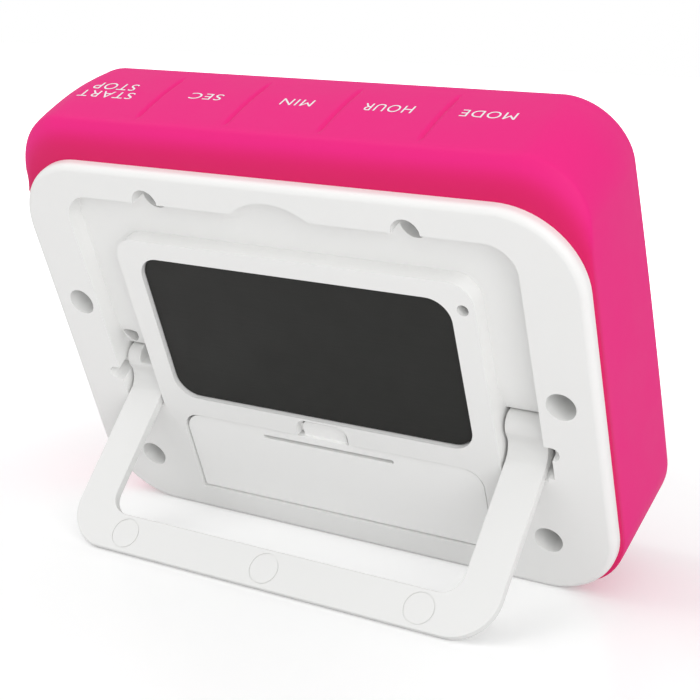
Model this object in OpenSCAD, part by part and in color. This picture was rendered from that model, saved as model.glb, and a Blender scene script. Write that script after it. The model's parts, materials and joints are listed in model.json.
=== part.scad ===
// Countdown timer with five keys on top, a magnet in its back and a fold-out stand.
// It is drawn as it stands in use: leaning back on its bottom edge and its opened stand.
//
// Case frame, in which each piece is drawn: X to the right seen from the front,
// Y towards the back, Z up the case. Its origin is the middle of the rear cover,
// on the seam where cover and sleeve meet. standing() then leans the case back.

/* [Rear cover] */
// Width of the rear cover
cover_w = 100; // [94:1:116]
// Height of the rear cover
cover_h = 70.3; // [67:0.1:80]
// Corner radius of the rear cover
cover_r = 13; // [9:0.5:14]
// How far the rear cover stands behind the sleeve
cover_proud = 2; // [1.8:0.1:3]
// Rounding of the rear cover's outer edge
cover_edge = 1.2; // [0.4:0.1:1.6]
// Wall of the ribs, boxes and tubes inside the rear cover
cover_wall = 1.1; // [0.8:0.1:1.4]
// Depth of the lip that goes into the front housing
lip_depth = 4; // [2.5:0.5:6]

/* [Sleeve] */
// Height of the sleeve above the rear cover
key_band = 6.35; // [5.8:0.05:10]
// How far the sleeve stands out past the cover at the sides and below
sleeve_lap = 0.3; // [0:0.05:1]
// Thickness of the sleeve on top, bottom and sides
sleeve_wall = 1.6; // [1.2:0.1:2]
// Thickness of the sleeve's front
sleeve_front = 2; // [1.6:0.1:2.6]
// Rounding of the sleeve's front edge
sleeve_edge = 3; // [1.5:0.25:4]
// Radius of the crown along the sleeve's top, from front to back
crown_r = 56; // [50:1:120]
// Rounding of the sleeve's rear edge above the cover
sleeve_top_edge = 3; // [1.5:0.25:3.5]
// Rounding of the sleeve's rear edge beside the cover
sleeve_side_edge = 0.5; // [0.3:0.05:1.4]

/* [Front housing] */
// Wall of the front housing
housing_wall = 1.5; // [1.2:0.1:1.8]
// Distance from the side of the cover to the display window
window_side = 13; // [12:0.5:18]
// Height of the display window
window_h = 34; // [28:1:38]
// Width of the frame beside the display window
frame_side = 5; // [3:0.5:6]
// Height of the frame above and below the display window
frame_band = 8; // [5:0.5:9]
// Height of the display's middle above the cover's middle
display_z = 3.5; // [2:0.5:5]

/* [Keys] */
// Distance from the side of the cover to the row of keys
key_side = 8.6; // [7.4:0.1:12]
// Length of a key from front to back
key_len = 14.5; // [10:0.5:15]
// Distance from the seam to the keys
key_back = 3.5; // [2.5:0.25:4.5]
// Gap around each key
key_gap = 0.3; // [0.2:0.05:0.5]
// Travel of a key
key_travel = 0.5; // [0.3:0.05:0.6]
// Radius of the post under a key
post_r = 2.4; // [1.8:0.1:2.6]
// Radius of a switch plunger
plunger_r = 1.7; // [1.2:0.1:2]

/* [Stand] */
// Distance from the side of the cover to the stand
stand_side = 10.2; // [9.2:0.1:12]
// Width of a leg
leg_w = 6.8; // [5:0.2:8]
// Thickness of the stand
stand_t = 1.6; // [1.2:0.1:2]
// Distance from the top of the cover to the stand's channel
channel_drop = 5.6; // [5.6:0.05:7]
// Width of the bar that joins the legs
bar_w = 6.5; // [5:0.1:7]
// Outer corner radius of the stand
stand_r = 7.5; // [5.5:0.5:9]
// Inner corner radius of the stand
stand_inner_r = 3.5; // [2:0.5:5]
// Height of the pivot above the cover's middle
pivot_z = -5.4; // [-6.5:0.1:-4.5]
// Depth of the pivot in front of the seam
pivot_depth = 2.4; // [2.2:0.1:3]
// Distance from the pivot to the stand's inner face
leg_offset = 2.5; // [2.4:0.1:2.7]
// Radius of the hollow that blends a leg into its knuckle
blend_r = 3; // [1:0.25:3]
// Width of the left leg's knuckle, seen from the back
short_knuckle = 2.8; // [2:0.2:5]
// Radius of the pivot pins
pin_r = 1.4; // [1:0.1:1.6]
// Length of a pivot pin outside its leg
pin_len = 2.6; // [1.8:0.1:3]
// Radial clearance of a pin in its bore
pin_clear = 0.05; // [0.02:0.01:0.1]
// Gap around the folded stand
stand_gap = 0.5; // [0.3:0.05:0.7]
// How far the case leans back
lean = 23.5; // [18:0.5:26]

/* [Magnet] */
// Border of the plateau beside the magnet's recess
recess_side = 4; // [3:0.1:6]
// Border of the plateau above the recess
recess_above = 3.2; // [2.4:0.1:5]
// Wall between the recess and the battery door's latch
recess_below = 1.2; // [1:0.1:4]
// Corner radius of the recess
recess_r = 4; // [2:0.5:6]
// Thickness of the magnet
magnet_t = 1.7; // [1.2:0.1:2]
// How far the magnet lies below the cover's face
magnet_sink = 0.7; // [0.3:0.1:0.8]
// Thickness of the steel plate under the magnet
keeper_t = 0.6; // [0.4:0.1:0.8]

/* [Batteries and door] */
// Diameter of an AAA cell
cell_d = 10.3; // [10:0.1:10.5]
// Length of an AAA cell with its button
cell_l = 44.5; // [43.5:0.1:44.5]
// Width of the door's opening
door_w = 58; // [56:0.5:60]
// Height of the door's opening
door_h = 16.8; // [16:0.2:18.5]
// Height of the door's lower edge above the cover's lower edge
door_sill = 5.45; // [5:0.05:6]
// Thickness of the battery door
door_t = 1.5; // [1.2:0.1:1.6]
// How far the battery door lies below the cover's face
door_sink = 0.3; // [0.1:0.05:0.5]
// Gap around the battery door
door_gap = 0.3; // [0.2:0.05:0.4]
// How far the battery door swings open
door_swing = 60; // [30:1:60]

/* [Electronics] */
// Length of the contact strips, from the display glass to the circuit board
strip_l = 2.2; // [1.2:0.1:5]
// Thickness of the circuit board
board_t = 1.2; // [0.8:0.1:1.6]
// Thickness of the display glass
glass_t = 2; // [1.6:0.1:2.4]
// Radius of the buzzer
buzzer_r = 6; // [5:0.25:7]

/* [Screws] */
// Radius of the recess over a case screw
screw_recess_r = 2.4; // [2.2:0.05:2.5]
// Radius of a case screw's head
screw_head_r = 2; // [1.7:0.1:2.1]
// Radius of a case screw's shank
screw_r = 1.1; // [0.9:0.05:1.3]
// Height of the upper side screw above the cover's middle
side_screw_high = 8; // [7:0.1:11]
// Height of the lower side screw above the cover's middle
side_screw_low = 2.8; // [2.5:0.1:6]

/* [Hidden] */
$fn = 64;
fit = 0.1;              // play between two fixed pieces that slide together
eps = 0.01;             // overlap that lets two shapes of one piece merge

// Outlines of the sleeve, the housing and the cover's lip, each around its own middle height
sleeve_w = cover_w + 2 * sleeve_lap;
sleeve_top = cover_h / 2 + key_band;
sleeve_bottom = -cover_h / 2 - sleeve_lap;
sleeve_h = sleeve_top - sleeve_bottom;
sleeve_mid = (sleeve_top + sleeve_bottom) / 2;
sleeve_r = cover_r + sleeve_lap;
band_h = cover_h + 2 * sleeve_lap;                     // sleeve's rear edge, where it follows the cover
housing_w = sleeve_w - 2 * (sleeve_wall + fit);
housing_h = sleeve_h - 2 * (sleeve_wall + fit);
housing_r = sleeve_r - sleeve_wall - fit;
housing_top = sleeve_mid + housing_h / 2;
lip_w = housing_w - 2 * (housing_wall + 2 * fit);
lip_bottom = sleeve_mid - housing_h / 2 + housing_wall + 2 * fit;
lip_top = cover_h / 2 - 2.2;
lip_h = lip_top - lip_bottom;
lip_mid = (lip_top + lip_bottom) / 2;
lip_r = housing_r - housing_wall - 2 * fit;
opening_w = lip_w + 2 * fit;                           // hole in the sleeve's rear flange
opening_h = lip_h + 2 * fit;

// Battery door and bay
door_rest = 0.1;                                       // play between the door and its shelf
door_bottom = -cover_h / 2 + door_sill;
door_top = door_bottom + door_h;
door_mid = (door_top + door_bottom) / 2;
ledge_y = cover_proud - door_sink - door_t - door_rest; // shelf that the door lies on
door_r = 3.5;                                          // upper corners of the door
tab_w = 8.2;                                           // latch tab: width, height above the door, sink
tab_h = 2.6;
tab_r = 1.2;
tab_sink = 0.5;
latch_slot_w = 25.4;                                   // slot that lets the tab flex
latch_slot_h = 0.7;
latch_slot_in = 2.1;                                   // from the door's upper edge
tongue_x = 18;                                         // tongues that hook under the cover's lower lip
tongue_w = 8;
tongue_t = 0.8;
tongue_reach = 1;
tongue_top = ledge_y - 0.1;
cell_r = cell_d / 2;
plate_t = 0.4;                                         // sheet of the battery contacts
spring_l = 8.1;                                        // length of a loaded contact spring
button_l = 0.6;                                        // height of a contact's button
spring_turns = 4;
spring_steps = 14;                                     // steps in a turn
wire_r = 0.4;
wire_sides = 6;
nub_l = 1.1;                                           // button at the end of a cell
nub_r = 1.9;
tail_w = 3;                                            // solder tail of a terminal
bay_l = cell_l + spring_l + button_l + 2 * plate_t;
bay_back = ledge_y - 0.1;
bay_bottom = lip_bottom + cover_wall;
lower_cell_z = bay_bottom + cell_r + 0.05;
upper_cell_z = lower_cell_z + cell_d + 0.3;
bay_top = upper_cell_z + cell_r + 0.05;
bay_h = bay_top - bay_bottom;
bay_mid = (bay_top + bay_bottom) / 2;
cell_y = ledge_y - 0.7 - cell_r;
bay_front = cell_y - cell_r - 0.2;

// Depth of the case, stacked from the battery bay to the front
board_back = bay_front - cover_wall - 1.7;
board_front = board_back - board_t;
glass_back = board_front - strip_l;
glass_front = glass_back - glass_t;
housing_inside = glass_front - 0.1;                    // inside of the housing's front wall
housing_front = housing_inside - housing_wall;         // front of that wall
case_depth = sleeve_front + fit - housing_front;
flange_t = sleeve_wall;                                // sleeve's turned-in rear edge
housing_back = -flange_t - fit;

// Crown of the sleeve's top: its arc's middle, and the roundings that run into it
crown_y = -case_depth / 2;
crown_z = sleeve_top - crown_r;
function edge_z(y, r) = crown_z + sqrt(pow(crown_r - r, 2) - pow(y - crown_y, 2));

// Stand, its channel and its pivot
pivot_y = -pivot_depth;
stand_w = cover_w - 2 * stand_side;
channel_top = cover_h / 2 - channel_drop;
stand_reach = channel_top - stand_gap - pivot_z;       // from its pivot to its foot
leg_in = stand_w / 2 - leg_w;                          // half the gap between the legs
channel_x = stand_w / 2 + stand_gap;                   // half width of the channel
plateau_x = leg_in - stand_gap;                        // half width of the plateau in it
plateau_top = pivot_z + stand_reach - bar_w - 0.3;
channel_r = stand_r - 2.5;
plateau_r = stand_inner_r + 0.5;
channel_floor = pivot_y + leg_offset - 1.1;            // the folded legs lie 1.1 above it
knuckle_r = leg_offset + stand_t;
knuckle_room = knuckle_r + 0.3;
barrel_r = leg_offset;                                 // the leg's inner face runs into the barrel
barrel_room = barrel_r + 0.3;
blend_y = barrel_r * (barrel_r - blend_r) / (barrel_r + blend_r);
blend_z = 2 * sqrt(barrel_r * blend_r);                // where the blend ends on the leg
foot_r = 0.5;                                          // rounding of the foot's lower edge
pocket_top = pivot_z + 7.6;                            // upper end of the pocket's ramp
slot_r = pin_r - 0.15;                                 // the pins snap in through narrower slots
slot_tilt = 16;                                        // slots rise from the cover's face to the pins
pin_room = channel_x + pin_len - stand_gap + 0.3;      // closed end of the pin bores
hinge_floor = pivot_y - knuckle_room - cover_wall;
relief_w = 1.1;                                        // relief beside the right leg, seen from the back
relief_rib = 1.1;                                      // wall between that relief and the pin's slot
hinge_window = [1.6, 2.7, 1.8, 3.1];                   // window over the left leg: insets, arm and radius of its arcs
notch_r = 11;                                          // finger notch: radius and height above the channel
notch_rise = 2.5;
mark_r = 2.6;                                          // moulding marks on the stand: radius and depth
mark_deep = 0.12;
mark_in = 12;                                          // outer marks from the ends of the bar

// The floor under the leaning case, and the angle at which the stand's foot meets it.
// "Height" is measured square to the floor, from the level of the case frame's origin.
function height(y, z) = z * cos(lean) - y * sin(lean);
floor_h = height(cover_proud - cover_edge, -cover_h / 2 + cover_edge) - cover_edge;
foot_u = stand_reach - foot_r;
foot_v = knuckle_r - foot_r;
foot_arm = sqrt(foot_u * foot_u + foot_v * foot_v);
stand_open = acos((floor_h + foot_r - height(pivot_y, pivot_z)) / foot_arm) - lean - atan2(foot_v, foot_u);
stop_gap = 0.1;                                        // leg to its stop, stand open
sweep_play = 4;                                        // room in degrees above the opened knuckle
sweep_end = stand_open - 90 + sweep_play;              // rise of the opened knuckle's upper corner
// Directions along the opened leg and square to its outer face, as [y, z]
leg_dir = [sin(stand_open), cos(stand_open)];
leg_out = [cos(stand_open), -sin(stand_open)];
// Lower end of the hinge pocket at the cover's face, where the opened leg leans
stop_near = [pivot_y, pivot_z] + (knuckle_r + stop_gap) * leg_out;
stop_reach = (cover_proud - stop_near[0]) / leg_dir[0];
stop_bottom = stop_near[1] + stop_reach * leg_dir[1];

// Middle of the standing object from front to back, at the level of the floor
function ahead(y, z) = y * cos(lean) + z * sin(lean);
front_y = ahead(-case_depth + sleeve_edge, sleeve_bottom + sleeve_edge) - sleeve_edge;
foot_tip_y = ahead(pivot_y + stand_reach * leg_dir[0] + leg_offset * leg_out[0],
                   pivot_z + stand_reach * leg_dir[1] + leg_offset * leg_out[1]);
rear_edge_y = ahead(-sleeve_top_edge, sleeve_top - sleeve_top_edge) + sleeve_top_edge;
cover_edge_y = ahead(cover_proud - cover_edge, cover_h / 2 - cover_edge) + cover_edge;
middle_y = (front_y + max(foot_tip_y, rear_edge_y, cover_edge_y)) / 2;

// Magnet recess in the plateau
recess_floor = cover_proud - magnet_sink - magnet_t - keeper_t;
block_floor = channel_floor - cover_wall - 0.4;        // inside of the cover's thick middle
recess_w = 2 * (plateau_x - recess_side);
recess_top = plateau_top - recess_above;
recess_bottom = door_top + tab_h + recess_below;
recess_h = recess_top - recess_bottom;
recess_z = (recess_top + recess_bottom) / 2;

// Display
window_w = cover_w - 2 * window_side;
bezel_w = window_w + 2 * frame_side;
bezel_h = window_h + 2 * frame_band;
bezel_r = 6;
bezel_sink = 0.4;                                      // frame below the sleeve's front
window_r = 3;
glass_w = window_w + 1;
glass_h = window_h + 4;
holder_wall = 1.2;
holder_w = glass_w + 2 * (holder_wall + fit);
holder_h = glass_h + 2 * (holder_wall + fit);
reflector_t = 0.2;
strip_t = 2;                                           // contact strips: height, distance to the glass's edge
strip_in = 0.6;
lens_lap = 2;                                          // lens beyond its window
lens_w = window_w + 2 * lens_lap;
lens_h = window_h + 2 * lens_lap;
lens_r = window_r + 1;
lens_back = housing_front + 0.2;
lens_front = -case_depth + bezel_sink + 0.3;
board_w = lip_w - 5;
board_bottom = bay_bottom + 2;
board_r = lip_r - 2;
chip_cap_r = 7.6;                                      // resin drop over the clock chip: dome's radius, height
chip_cap_h = 1.6;
chip_cap_z = 12;
crystal_r = 1.5;
crystal_l = 6;
crystal_x = 13;
crystal_z = 8;
capacitor_r = 2.5;
capacitor_l = 5;
capacitor_x = [-12, -18.5];
capacitor_z = 6;

// Keys and switches
key_pitch = (cover_w - 2 * key_side) / 5;
key_y = -key_back - key_len / 2;
switch_y = board_back + 3.15;                          // switches and plungers, on the board's back
pad_t = sleeve_wall + fit - key_travel - 0.1;
pad_r = 0.8;                                           // corners of a key
switch_w = 6;
switch_h = 3.6;
switch_drop = 3.4;                                     // from the housing's roof to the switches
switch_top = housing_top - housing_wall - switch_drop;
plunger_top = switch_top + 1;
board_top = switch_top;
function key_x(i) = (i - 2) * key_pitch;

// Screws: [x, z] of each case screw and of each board screw
tube_r = screw_recess_r + 0.5;                         // round each case screw's recess
upper_screw_x = 1.5 * key_pitch - 1.54;                // between two of the switches
upper_screw_z = lip_top - tube_r - 0.45;
side_screw_x = lip_w / 2 - tube_r;
lower_screw_x = cover_w / 2 - 11.2;
lower_screw_z = -cover_h / 2 + 10.7;
screw_places = [[upper_screw_x, upper_screw_z], [-upper_screw_x, upper_screw_z],
                [side_screw_x, side_screw_high], [-side_screw_x, side_screw_low],
                [lower_screw_x, lower_screw_z], [-lower_screw_x, lower_screw_z]];
screw_seat = -5;                                       // under the screw heads
screw_head_h = 1.3;
screw_l = 9;
boss_r = 3.1;
board_post_x = glass_w / 2 + holder_wall + 2.4;
board_places = [for (x = [-1, 1], z = [-1, 1]) [x * board_post_x, display_z + z * (glass_h / 2 - 3)]];
post_wall_r = 1.9;

// Buzzer, behind the sound hole in the plateau's upper corner
sound_x = -30.5;
sound_z = 17.6;
buzzer_x = sound_x + 1;
buzzer_z = sound_z - 2;
ring_t = 0.6;
buzzer_t = 3;

// ---------- shared shapes ----------

// Leans the case back and sets it on the floor, centred from front to back
module standing() {
    translate([0, -middle_y, -floor_h]) rotate([-lean, 0, 0]) children();
}

// Gives a flat outline, drawn as x and z, a thickness from y0 to y1
module slab(y0, y1) {
    translate([0, y1, 0]) rotate([90, 0, 0]) linear_extrude(height = y1 - y0) children();
}

// Gives a profile, drawn as y and z, a width from x0 to x1
module across(x0, x1) {
    translate([x0, 0, 0]) rotate([90, 0, 90]) linear_extrude(height = x1 - x0) children();
}

// Rectangle with round corners around the origin
module outline(w, h, r) {
    square([w - 2 * r, h], center = true);
    square([w, h - 2 * r], center = true);
    for (x = [-1, 1], z = [-1, 1]) translate([x * (w / 2 - r), z * (h / 2 - r)]) circle(r);
}

// Plate with round corners r, whose edge towards +Y is rounded by e
module soft_plate(w, h, r, y0, y1, e) intersection() {
    slab(y0, y1 + 1) square([w + 2, h + 2], center = true);
    round_plate(w, h, r, y0, y1, e);
}

module round_plate(w, h, r, y0, y1, e) {
    slab(y0, y1 - e) outline(w, h, r);
    slab(y0, y1) outline(w - 2 * e, h - 2 * e, r - e);
    for (s = [-1, 1]) {
        translate([0, y1 - e, s * (h / 2 - e)]) rotate([0, 90, 0])
            cylinder(r = e, h = w - 2 * r, center = true);
        translate([s * (w / 2 - e), y1 - e, 0]) cylinder(r = e, h = h - 2 * r, center = true);
    }
    for (x = [-1, 1], z = [-1, 1]) translate([x * (w / 2 - r), y1 - e, z * (h / 2 - r)])
        rotate([90, 0, 0]) rotate_extrude() translate([r - e, 0]) circle(e, $fn = 32);
}

// Round bar along Y from y0 to y1
module rod(r, y0, y1) {
    translate([0, y0, 0]) rotate([-90, 0, 0]) cylinder(r = r, h = y1 - y0);
}

// Puts a copy at each of the case screws
module at_screws() {
    for (p = screw_places) translate([p[0], 0, p[1]]) children();
}

// ---------- casing ----------

// Side view of the crowned sleeve, as y and z: two edge roundings that run into the crown's arc
module crown_shape() {
    front = [-case_depth + sleeve_edge, edge_z(-case_depth + sleeve_edge, sleeve_edge)];
    rear = [-sleeve_top_edge, edge_z(-sleeve_top_edge, sleeve_top_edge)];
    middle = [crown_y, crown_z];
    translate(front) circle(sleeve_edge);
    translate(rear) circle(sleeve_top_edge);
    intersection() {
        translate(middle) circle(crown_r, $fn = 360);
        polygon([middle, middle + 1.2 * (front - middle), middle + 1.2 * (rear - middle)]);
    }
    polygon([[-case_depth, sleeve_bottom - 1], [-case_depth, front[1]], front, rear, [0, rear[1]],
             [0, sleeve_bottom - 1]]);
}

// Outer form of sleeve and keys. Its rear edge is softly rounded above the cover,
// and follows the cover beside and below it.
module sleeve_form() intersection() {
    union() {
        intersection() {
            translate([0, 0, sleeve_mid])
                soft_plate(sleeve_w, sleeve_h, sleeve_r, -case_depth, 0, sleeve_top_edge);
            across(-sleeve_w / 2 - 1, sleeve_w / 2 + 1) crown_shape();
        }
        soft_plate(sleeve_w, band_h, sleeve_r, -case_depth / 2, 0, sleeve_side_edge);
    }
    translate([0, -case_depth, sleeve_mid]) mirror([0, 1, 0])
        soft_plate(sleeve_w, sleeve_h, sleeve_r, -case_depth, 0, sleeve_edge);
}

module sleeve() color([0.94, 0.25, 0.55]) standing() difference() {
    sleeve_form();
    translate([0, 0, sleeve_mid])
        slab(-case_depth + sleeve_front, -flange_t)
            outline(sleeve_w - 2 * sleeve_wall, sleeve_h - 2 * sleeve_wall, sleeve_r - sleeve_wall);
    translate([0, 0, lip_mid]) slab(-flange_t - 1, 1) outline(opening_w, opening_h, lip_r + fit);
    translate([0, 0, display_z]) slab(-case_depth - 1, -case_depth + sleeve_front + 1)
        outline(bezel_w + 2 * fit, bezel_h + 2 * fit, bezel_r + fit);
    translate([-5 * key_pitch / 2, -key_back - key_len, sleeve_top - sleeve_wall - 1])
        cube([5 * key_pitch, key_len, sleeve_wall + 2]);
}

module front_housing() color([0.93, 0.93, 0.92]) standing() difference() {
    union() {
        difference() {
            translate([0, 0, sleeve_mid]) slab(housing_front, housing_back)
                outline(housing_w, housing_h, housing_r);
            translate([0, 0, sleeve_mid]) slab(housing_inside, housing_back - housing_wall)
                outline(housing_w - 2 * housing_wall, housing_h - 2 * housing_wall, housing_r - housing_wall);
            translate([0, 0, lip_mid]) slab(housing_back - housing_wall - 1, 1)
                outline(lip_w + 2 * fit, lip_h + 2 * fit, lip_r + fit);
        }
        // Raised frame around the display, in the sleeve's front opening
        translate([0, 0, display_z]) slab(-case_depth + bezel_sink, housing_front + eps)
            outline(bezel_w, bezel_h, bezel_r);
        // Screw bosses and board posts, standing on the front wall
        at_screws() rod(boss_r, housing_inside - eps, screw_seat - cover_wall - fit);
        for (p = board_places) translate([p[0], 0, p[1]])
            rod(post_wall_r, housing_inside - eps, board_front);
    }
    translate([0, 0, display_z]) slab(-case_depth - 1, housing_inside + 1)
        outline(window_w, window_h, window_r);
    translate([0, 0, display_z]) slab(-case_depth - 1, lens_back)
        outline(lens_w + 2 * fit, lens_h + 2 * fit, lens_r + fit);
    at_screws() rod(screw_r + 0.05, screw_seat - screw_l - 0.5, 0);
    for (p = board_places) translate([p[0], 0, p[1]]) rod(0.85, board_front - 2.6, board_front + 1);
    for (i = [0:4]) translate([key_x(i), switch_y, housing_top - housing_wall - 1])
        cylinder(r = post_r + 0.5, h = housing_wall + 2);
}

// The channel that the folded stand lies in, as x and z
module channel_shape() difference() {
    union() {
        translate([0, (channel_top + pivot_z) / 2])
            outline(2 * channel_x, channel_top - pivot_z, channel_r);
        translate([-channel_x, pivot_z]) square([2 * channel_x, channel_r + 1]);
    }
    translate([0, (plateau_top + pivot_z) / 2 - plateau_r])
        outline(2 * plateau_x, plateau_top - pivot_z + 2 * plateau_r, plateau_r);
}

// Hinge pocket, as y and z: room for the knuckle to turn, and ramps above and below it
module pocket_shape() {
    far = cover_proud + 2;
    translate([pivot_y, pivot_z]) {
        circle(barrel_room);
        // The knuckle's outer side sweeps from its place in the opened stand to the front
        difference() {
            circle(knuckle_room);
            polygon([[0, 0], 3 * knuckle_room * [-cos(sweep_end), sin(sweep_end)],
                     3 * knuckle_room * [-1, 3], 3 * knuckle_room * [1, 3], 3 * knuckle_room * [1, 0]]);
        }
        translate([0, -knuckle_r]) square([far - pivot_y, knuckle_r + barrel_room]);
    }
    polygon([[pivot_y, pivot_z], [pivot_y, pivot_z + barrel_room], [channel_floor, pocket_top],
             [far, pocket_top], [far, pivot_z]]);
    polygon([[pivot_y, pivot_z], stop_near, stop_near + (stop_reach + 2) * leg_dir,
             [far, pivot_z]]);
}

// Door opening or door outline, grown by g: round above, square below
module door_shape(g) {
    w = door_w + 2 * g;
    h = door_h + 2 * g;
    translate([0, door_mid]) {
        outline(w, h, door_r);
        translate([-w / 2, -h / 2]) square([w, h / 2]);
    }
}

// Battery door's latch tab, grown by g
module tab_shape(g) {
    translate([0, door_top - 1]) outline(tab_w + 2 * g, 2 * (tab_h + g) + 2, tab_r);
}

module rear_cover() color([0.95, 0.95, 0.94]) standing() difference() {
    union() {
        soft_plate(cover_w, cover_h, cover_r, 0, cover_proud, cover_edge);
        // Lip that centres the cover in the sleeve and the front housing
        difference() {
            translate([0, 0, lip_mid]) slab(-lip_depth, eps) outline(lip_w, lip_h, lip_r);
            translate([0, 0, lip_mid]) slab(-lip_depth - 1, 0)
                outline(lip_w - 2 * cover_wall, lip_h - 2 * cover_wall, lip_r - cover_wall);
        }
        // Thick middle that carries the channel and the magnet
        slab(block_floor, eps) translate([0, (channel_top + bay_top) / 2 + 0.5])
            square([2 * (channel_x + cover_wall), channel_top - bay_top + 3], center = true);
        // Hinge boxes
        for (s = [-1, 1]) translate([s * (plateau_x + pin_room) / 2, (eps + hinge_floor) / 2,
                                     (pocket_top + stop_bottom) / 2 - 0.5])
            cube([pin_room - plateau_x + 2 * cover_wall, eps - hinge_floor,
                  pocket_top - stop_bottom + 2 * cover_wall + 1], center = true);
        // Battery box
        translate([0, 0, bay_mid]) slab(bay_front - cover_wall, eps)
            square([bay_l + 2 * cover_wall, bay_h + 2 * cover_wall], center = true);
        at_screws() rod(tube_r, screw_seat - cover_wall, eps);
    }
    slab(channel_floor, cover_proud + 1) channel_shape();
    for (s = [-1, 1]) {
        across(s > 0 ? plateau_x : -channel_x, s > 0 ? channel_x : -plateau_x) pocket_shape();
        // Pin bore, with a slot from the cover's face through which the pin is snapped in
        translate([s * (channel_x + pin_room) / 2 - s * 0.25, pivot_y, pivot_z]) rotate([0, 90, 0])
            cylinder(r = pin_r + pin_clear, h = pin_room - channel_x + 0.5, center = true);
        translate([0, pivot_y, pivot_z]) rotate([-slot_tilt, 0, 0]) {
            translate([s * (pin_room - slot_r), 0, 0]) rod(slot_r, 0, 8);
            translate([s * (pin_room - slot_r + channel_x - 1) / 2, 4, 0])
                cube([pin_room - slot_r - channel_x + 1, 8, 2 * slot_r], center = true);
        }
    }
    // Relief beside the right leg, and a window in the ramp over the left leg, seen from the back
    translate([-channel_x - relief_w, -1.5, stop_bottom + 0.7])
        cube([relief_w + 1, 6, pivot_z - slot_r - relief_rib - stop_bottom]);
    translate([channel_x - hinge_window[0], 0, pocket_top - hinge_window[1]])
        slab(hinge_floor - 1, channel_floor + 1) intersection_for (a = [30, 150, 270])
            rotate(a) translate([hinge_window[2], 0]) circle(hinge_window[3]);
    // Finger notch above the channel
    slab(channel_floor, cover_proud + 1) intersection() {
        translate([0, channel_top + notch_rise - notch_r]) circle(notch_r);
        translate([0, channel_top]) square([2 * notch_r, 2 * notch_rise], center = true);
    }
    translate([0, 0, recess_z]) slab(recess_floor, cover_proud + 1) outline(recess_w, recess_h, recess_r);
    translate([sound_x, 0, sound_z]) rod(0.95, block_floor - 1, cover_proud + 1);
    // Battery bay, door opening, ledge and latch notch
    translate([0, 0, bay_mid]) slab(bay_front, bay_back) square([bay_l, bay_h], center = true);
    slab(ledge_y, cover_proud + 1) door_shape(0);
    slab(bay_back - 1, cover_proud + 1) intersection() {
        door_shape(0);
        translate([0, bay_mid]) square([bay_l, bay_h], center = true);
    }
    slab(ledge_y - 0.5, cover_proud + 1) tab_shape(door_gap);
    for (s = [-1, 1]) translate([s * tongue_x, 0, door_bottom - 1])
        slab(tongue_top - tongue_t - 0.9, tongue_top + 0.3) square([tongue_w + 0.6, 4.4], center = true);
    // Slots for the solder tails of the two terminals
    for (z = [upper_cell_z, lower_cell_z]) translate([(plate_t - bay_l) / 2, bay_front, z])
        cube([plate_t + 0.4, 4, tail_w + 0.4], center = true);
    at_screws() {
        rod(screw_recess_r, screw_seat, cover_proud + 1);
        rod(screw_r + 0.3, screw_seat - cover_wall - 1, 0);
        rod(boss_r + 0.2, hinge_floor - 1, screw_seat - cover_wall);
    }
}

module battery_door() color([0.95, 0.95, 0.94]) standing() difference() {
    union() {
        slab(ledge_y + door_rest, cover_proud - door_sink) door_shape(-door_gap);
        slab(ledge_y + door_rest, cover_proud - door_sink - tab_sink) tab_shape(0);
        for (s = [-1, 1]) translate([s * tongue_x, 0, door_bottom]) {
            slab(tongue_top - tongue_t, tongue_top)
                translate([-tongue_w / 2, -tongue_reach]) square([tongue_w, tongue_reach + 1.6]);
            slab(tongue_top - tongue_t, ledge_y + 2 * door_rest)
                translate([-tongue_w / 2, 0.4]) square([tongue_w, 1.2]);
        }
    }
    translate([0, 0, door_top - latch_slot_in]) slab(ledge_y - 1, cover_proud + 1)
        outline(latch_slot_w, latch_slot_h, latch_slot_h / 2 - eps);
}

// Stand folded flat: pivot at the origin, legs up along Z, outer face towards +Y
module folded_stand() {
    difference() {
        slab(leg_offset, knuckle_r) difference() {
            union() {
                translate([0, stand_reach / 2]) outline(stand_w, stand_reach, stand_r);
                translate([-stand_w / 2, 0]) square([stand_w, stand_reach / 2]);
            }
            translate([0, (stand_reach - bar_w) / 2 - stand_inner_r])
                outline(2 * leg_in, stand_reach - bar_w + 2 * stand_inner_r, stand_inner_r);
        }
        // Moulding marks on the inner face
        for (x = [-1, 0, 1]) translate([x * (stand_w / 2 - mark_in), 0, stand_reach - bar_w / 2])
            rod(mark_r, leg_offset - 1, leg_offset + mark_deep);
    }
    across(-stand_w / 2, -leg_in) knuckle_shape();
    across(stand_w / 2 - short_knuckle, stand_w / 2) knuckle_shape();
    across(leg_in, stand_w / 2 - short_knuckle + eps) difference() {
        knuckle_shape();
        rotate(stand_open) translate([-2 * knuckle_r, 0.3]) square(4 * knuckle_r);
    }
    for (s = [-1, 1]) {
        translate([s * (stand_w / 2 - 1), 0, 0]) rotate([0, s * 90, 0])
            cylinder(r = pin_r, h = pin_len + 1);
    }
}

// Knuckle, as y and z: a barrel around the pivot, blended into the leg
module knuckle_shape() {
    circle(barrel_r);
    intersection() {
        circle(knuckle_r);
        translate([0, -knuckle_r]) square(knuckle_r);
    }
    difference() {
        translate([blend_y, -eps]) square([leg_offset + eps - blend_y, blend_z]);
        translate([leg_offset - blend_r, blend_z]) circle(blend_r);
    }
}

module stand() color([0.96, 0.96, 0.95]) standing()
    translate([0, pivot_y, pivot_z]) rotate([-stand_open, 0, 0]) folded_stand();

module magnet() color([0.2, 0.2, 0.19]) standing() translate([0, 0, recess_z])
    slab(recess_floor + keeper_t, cover_proud - magnet_sink)
        outline(recess_w - 2 * fit, recess_h - 2 * fit, recess_r);

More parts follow.
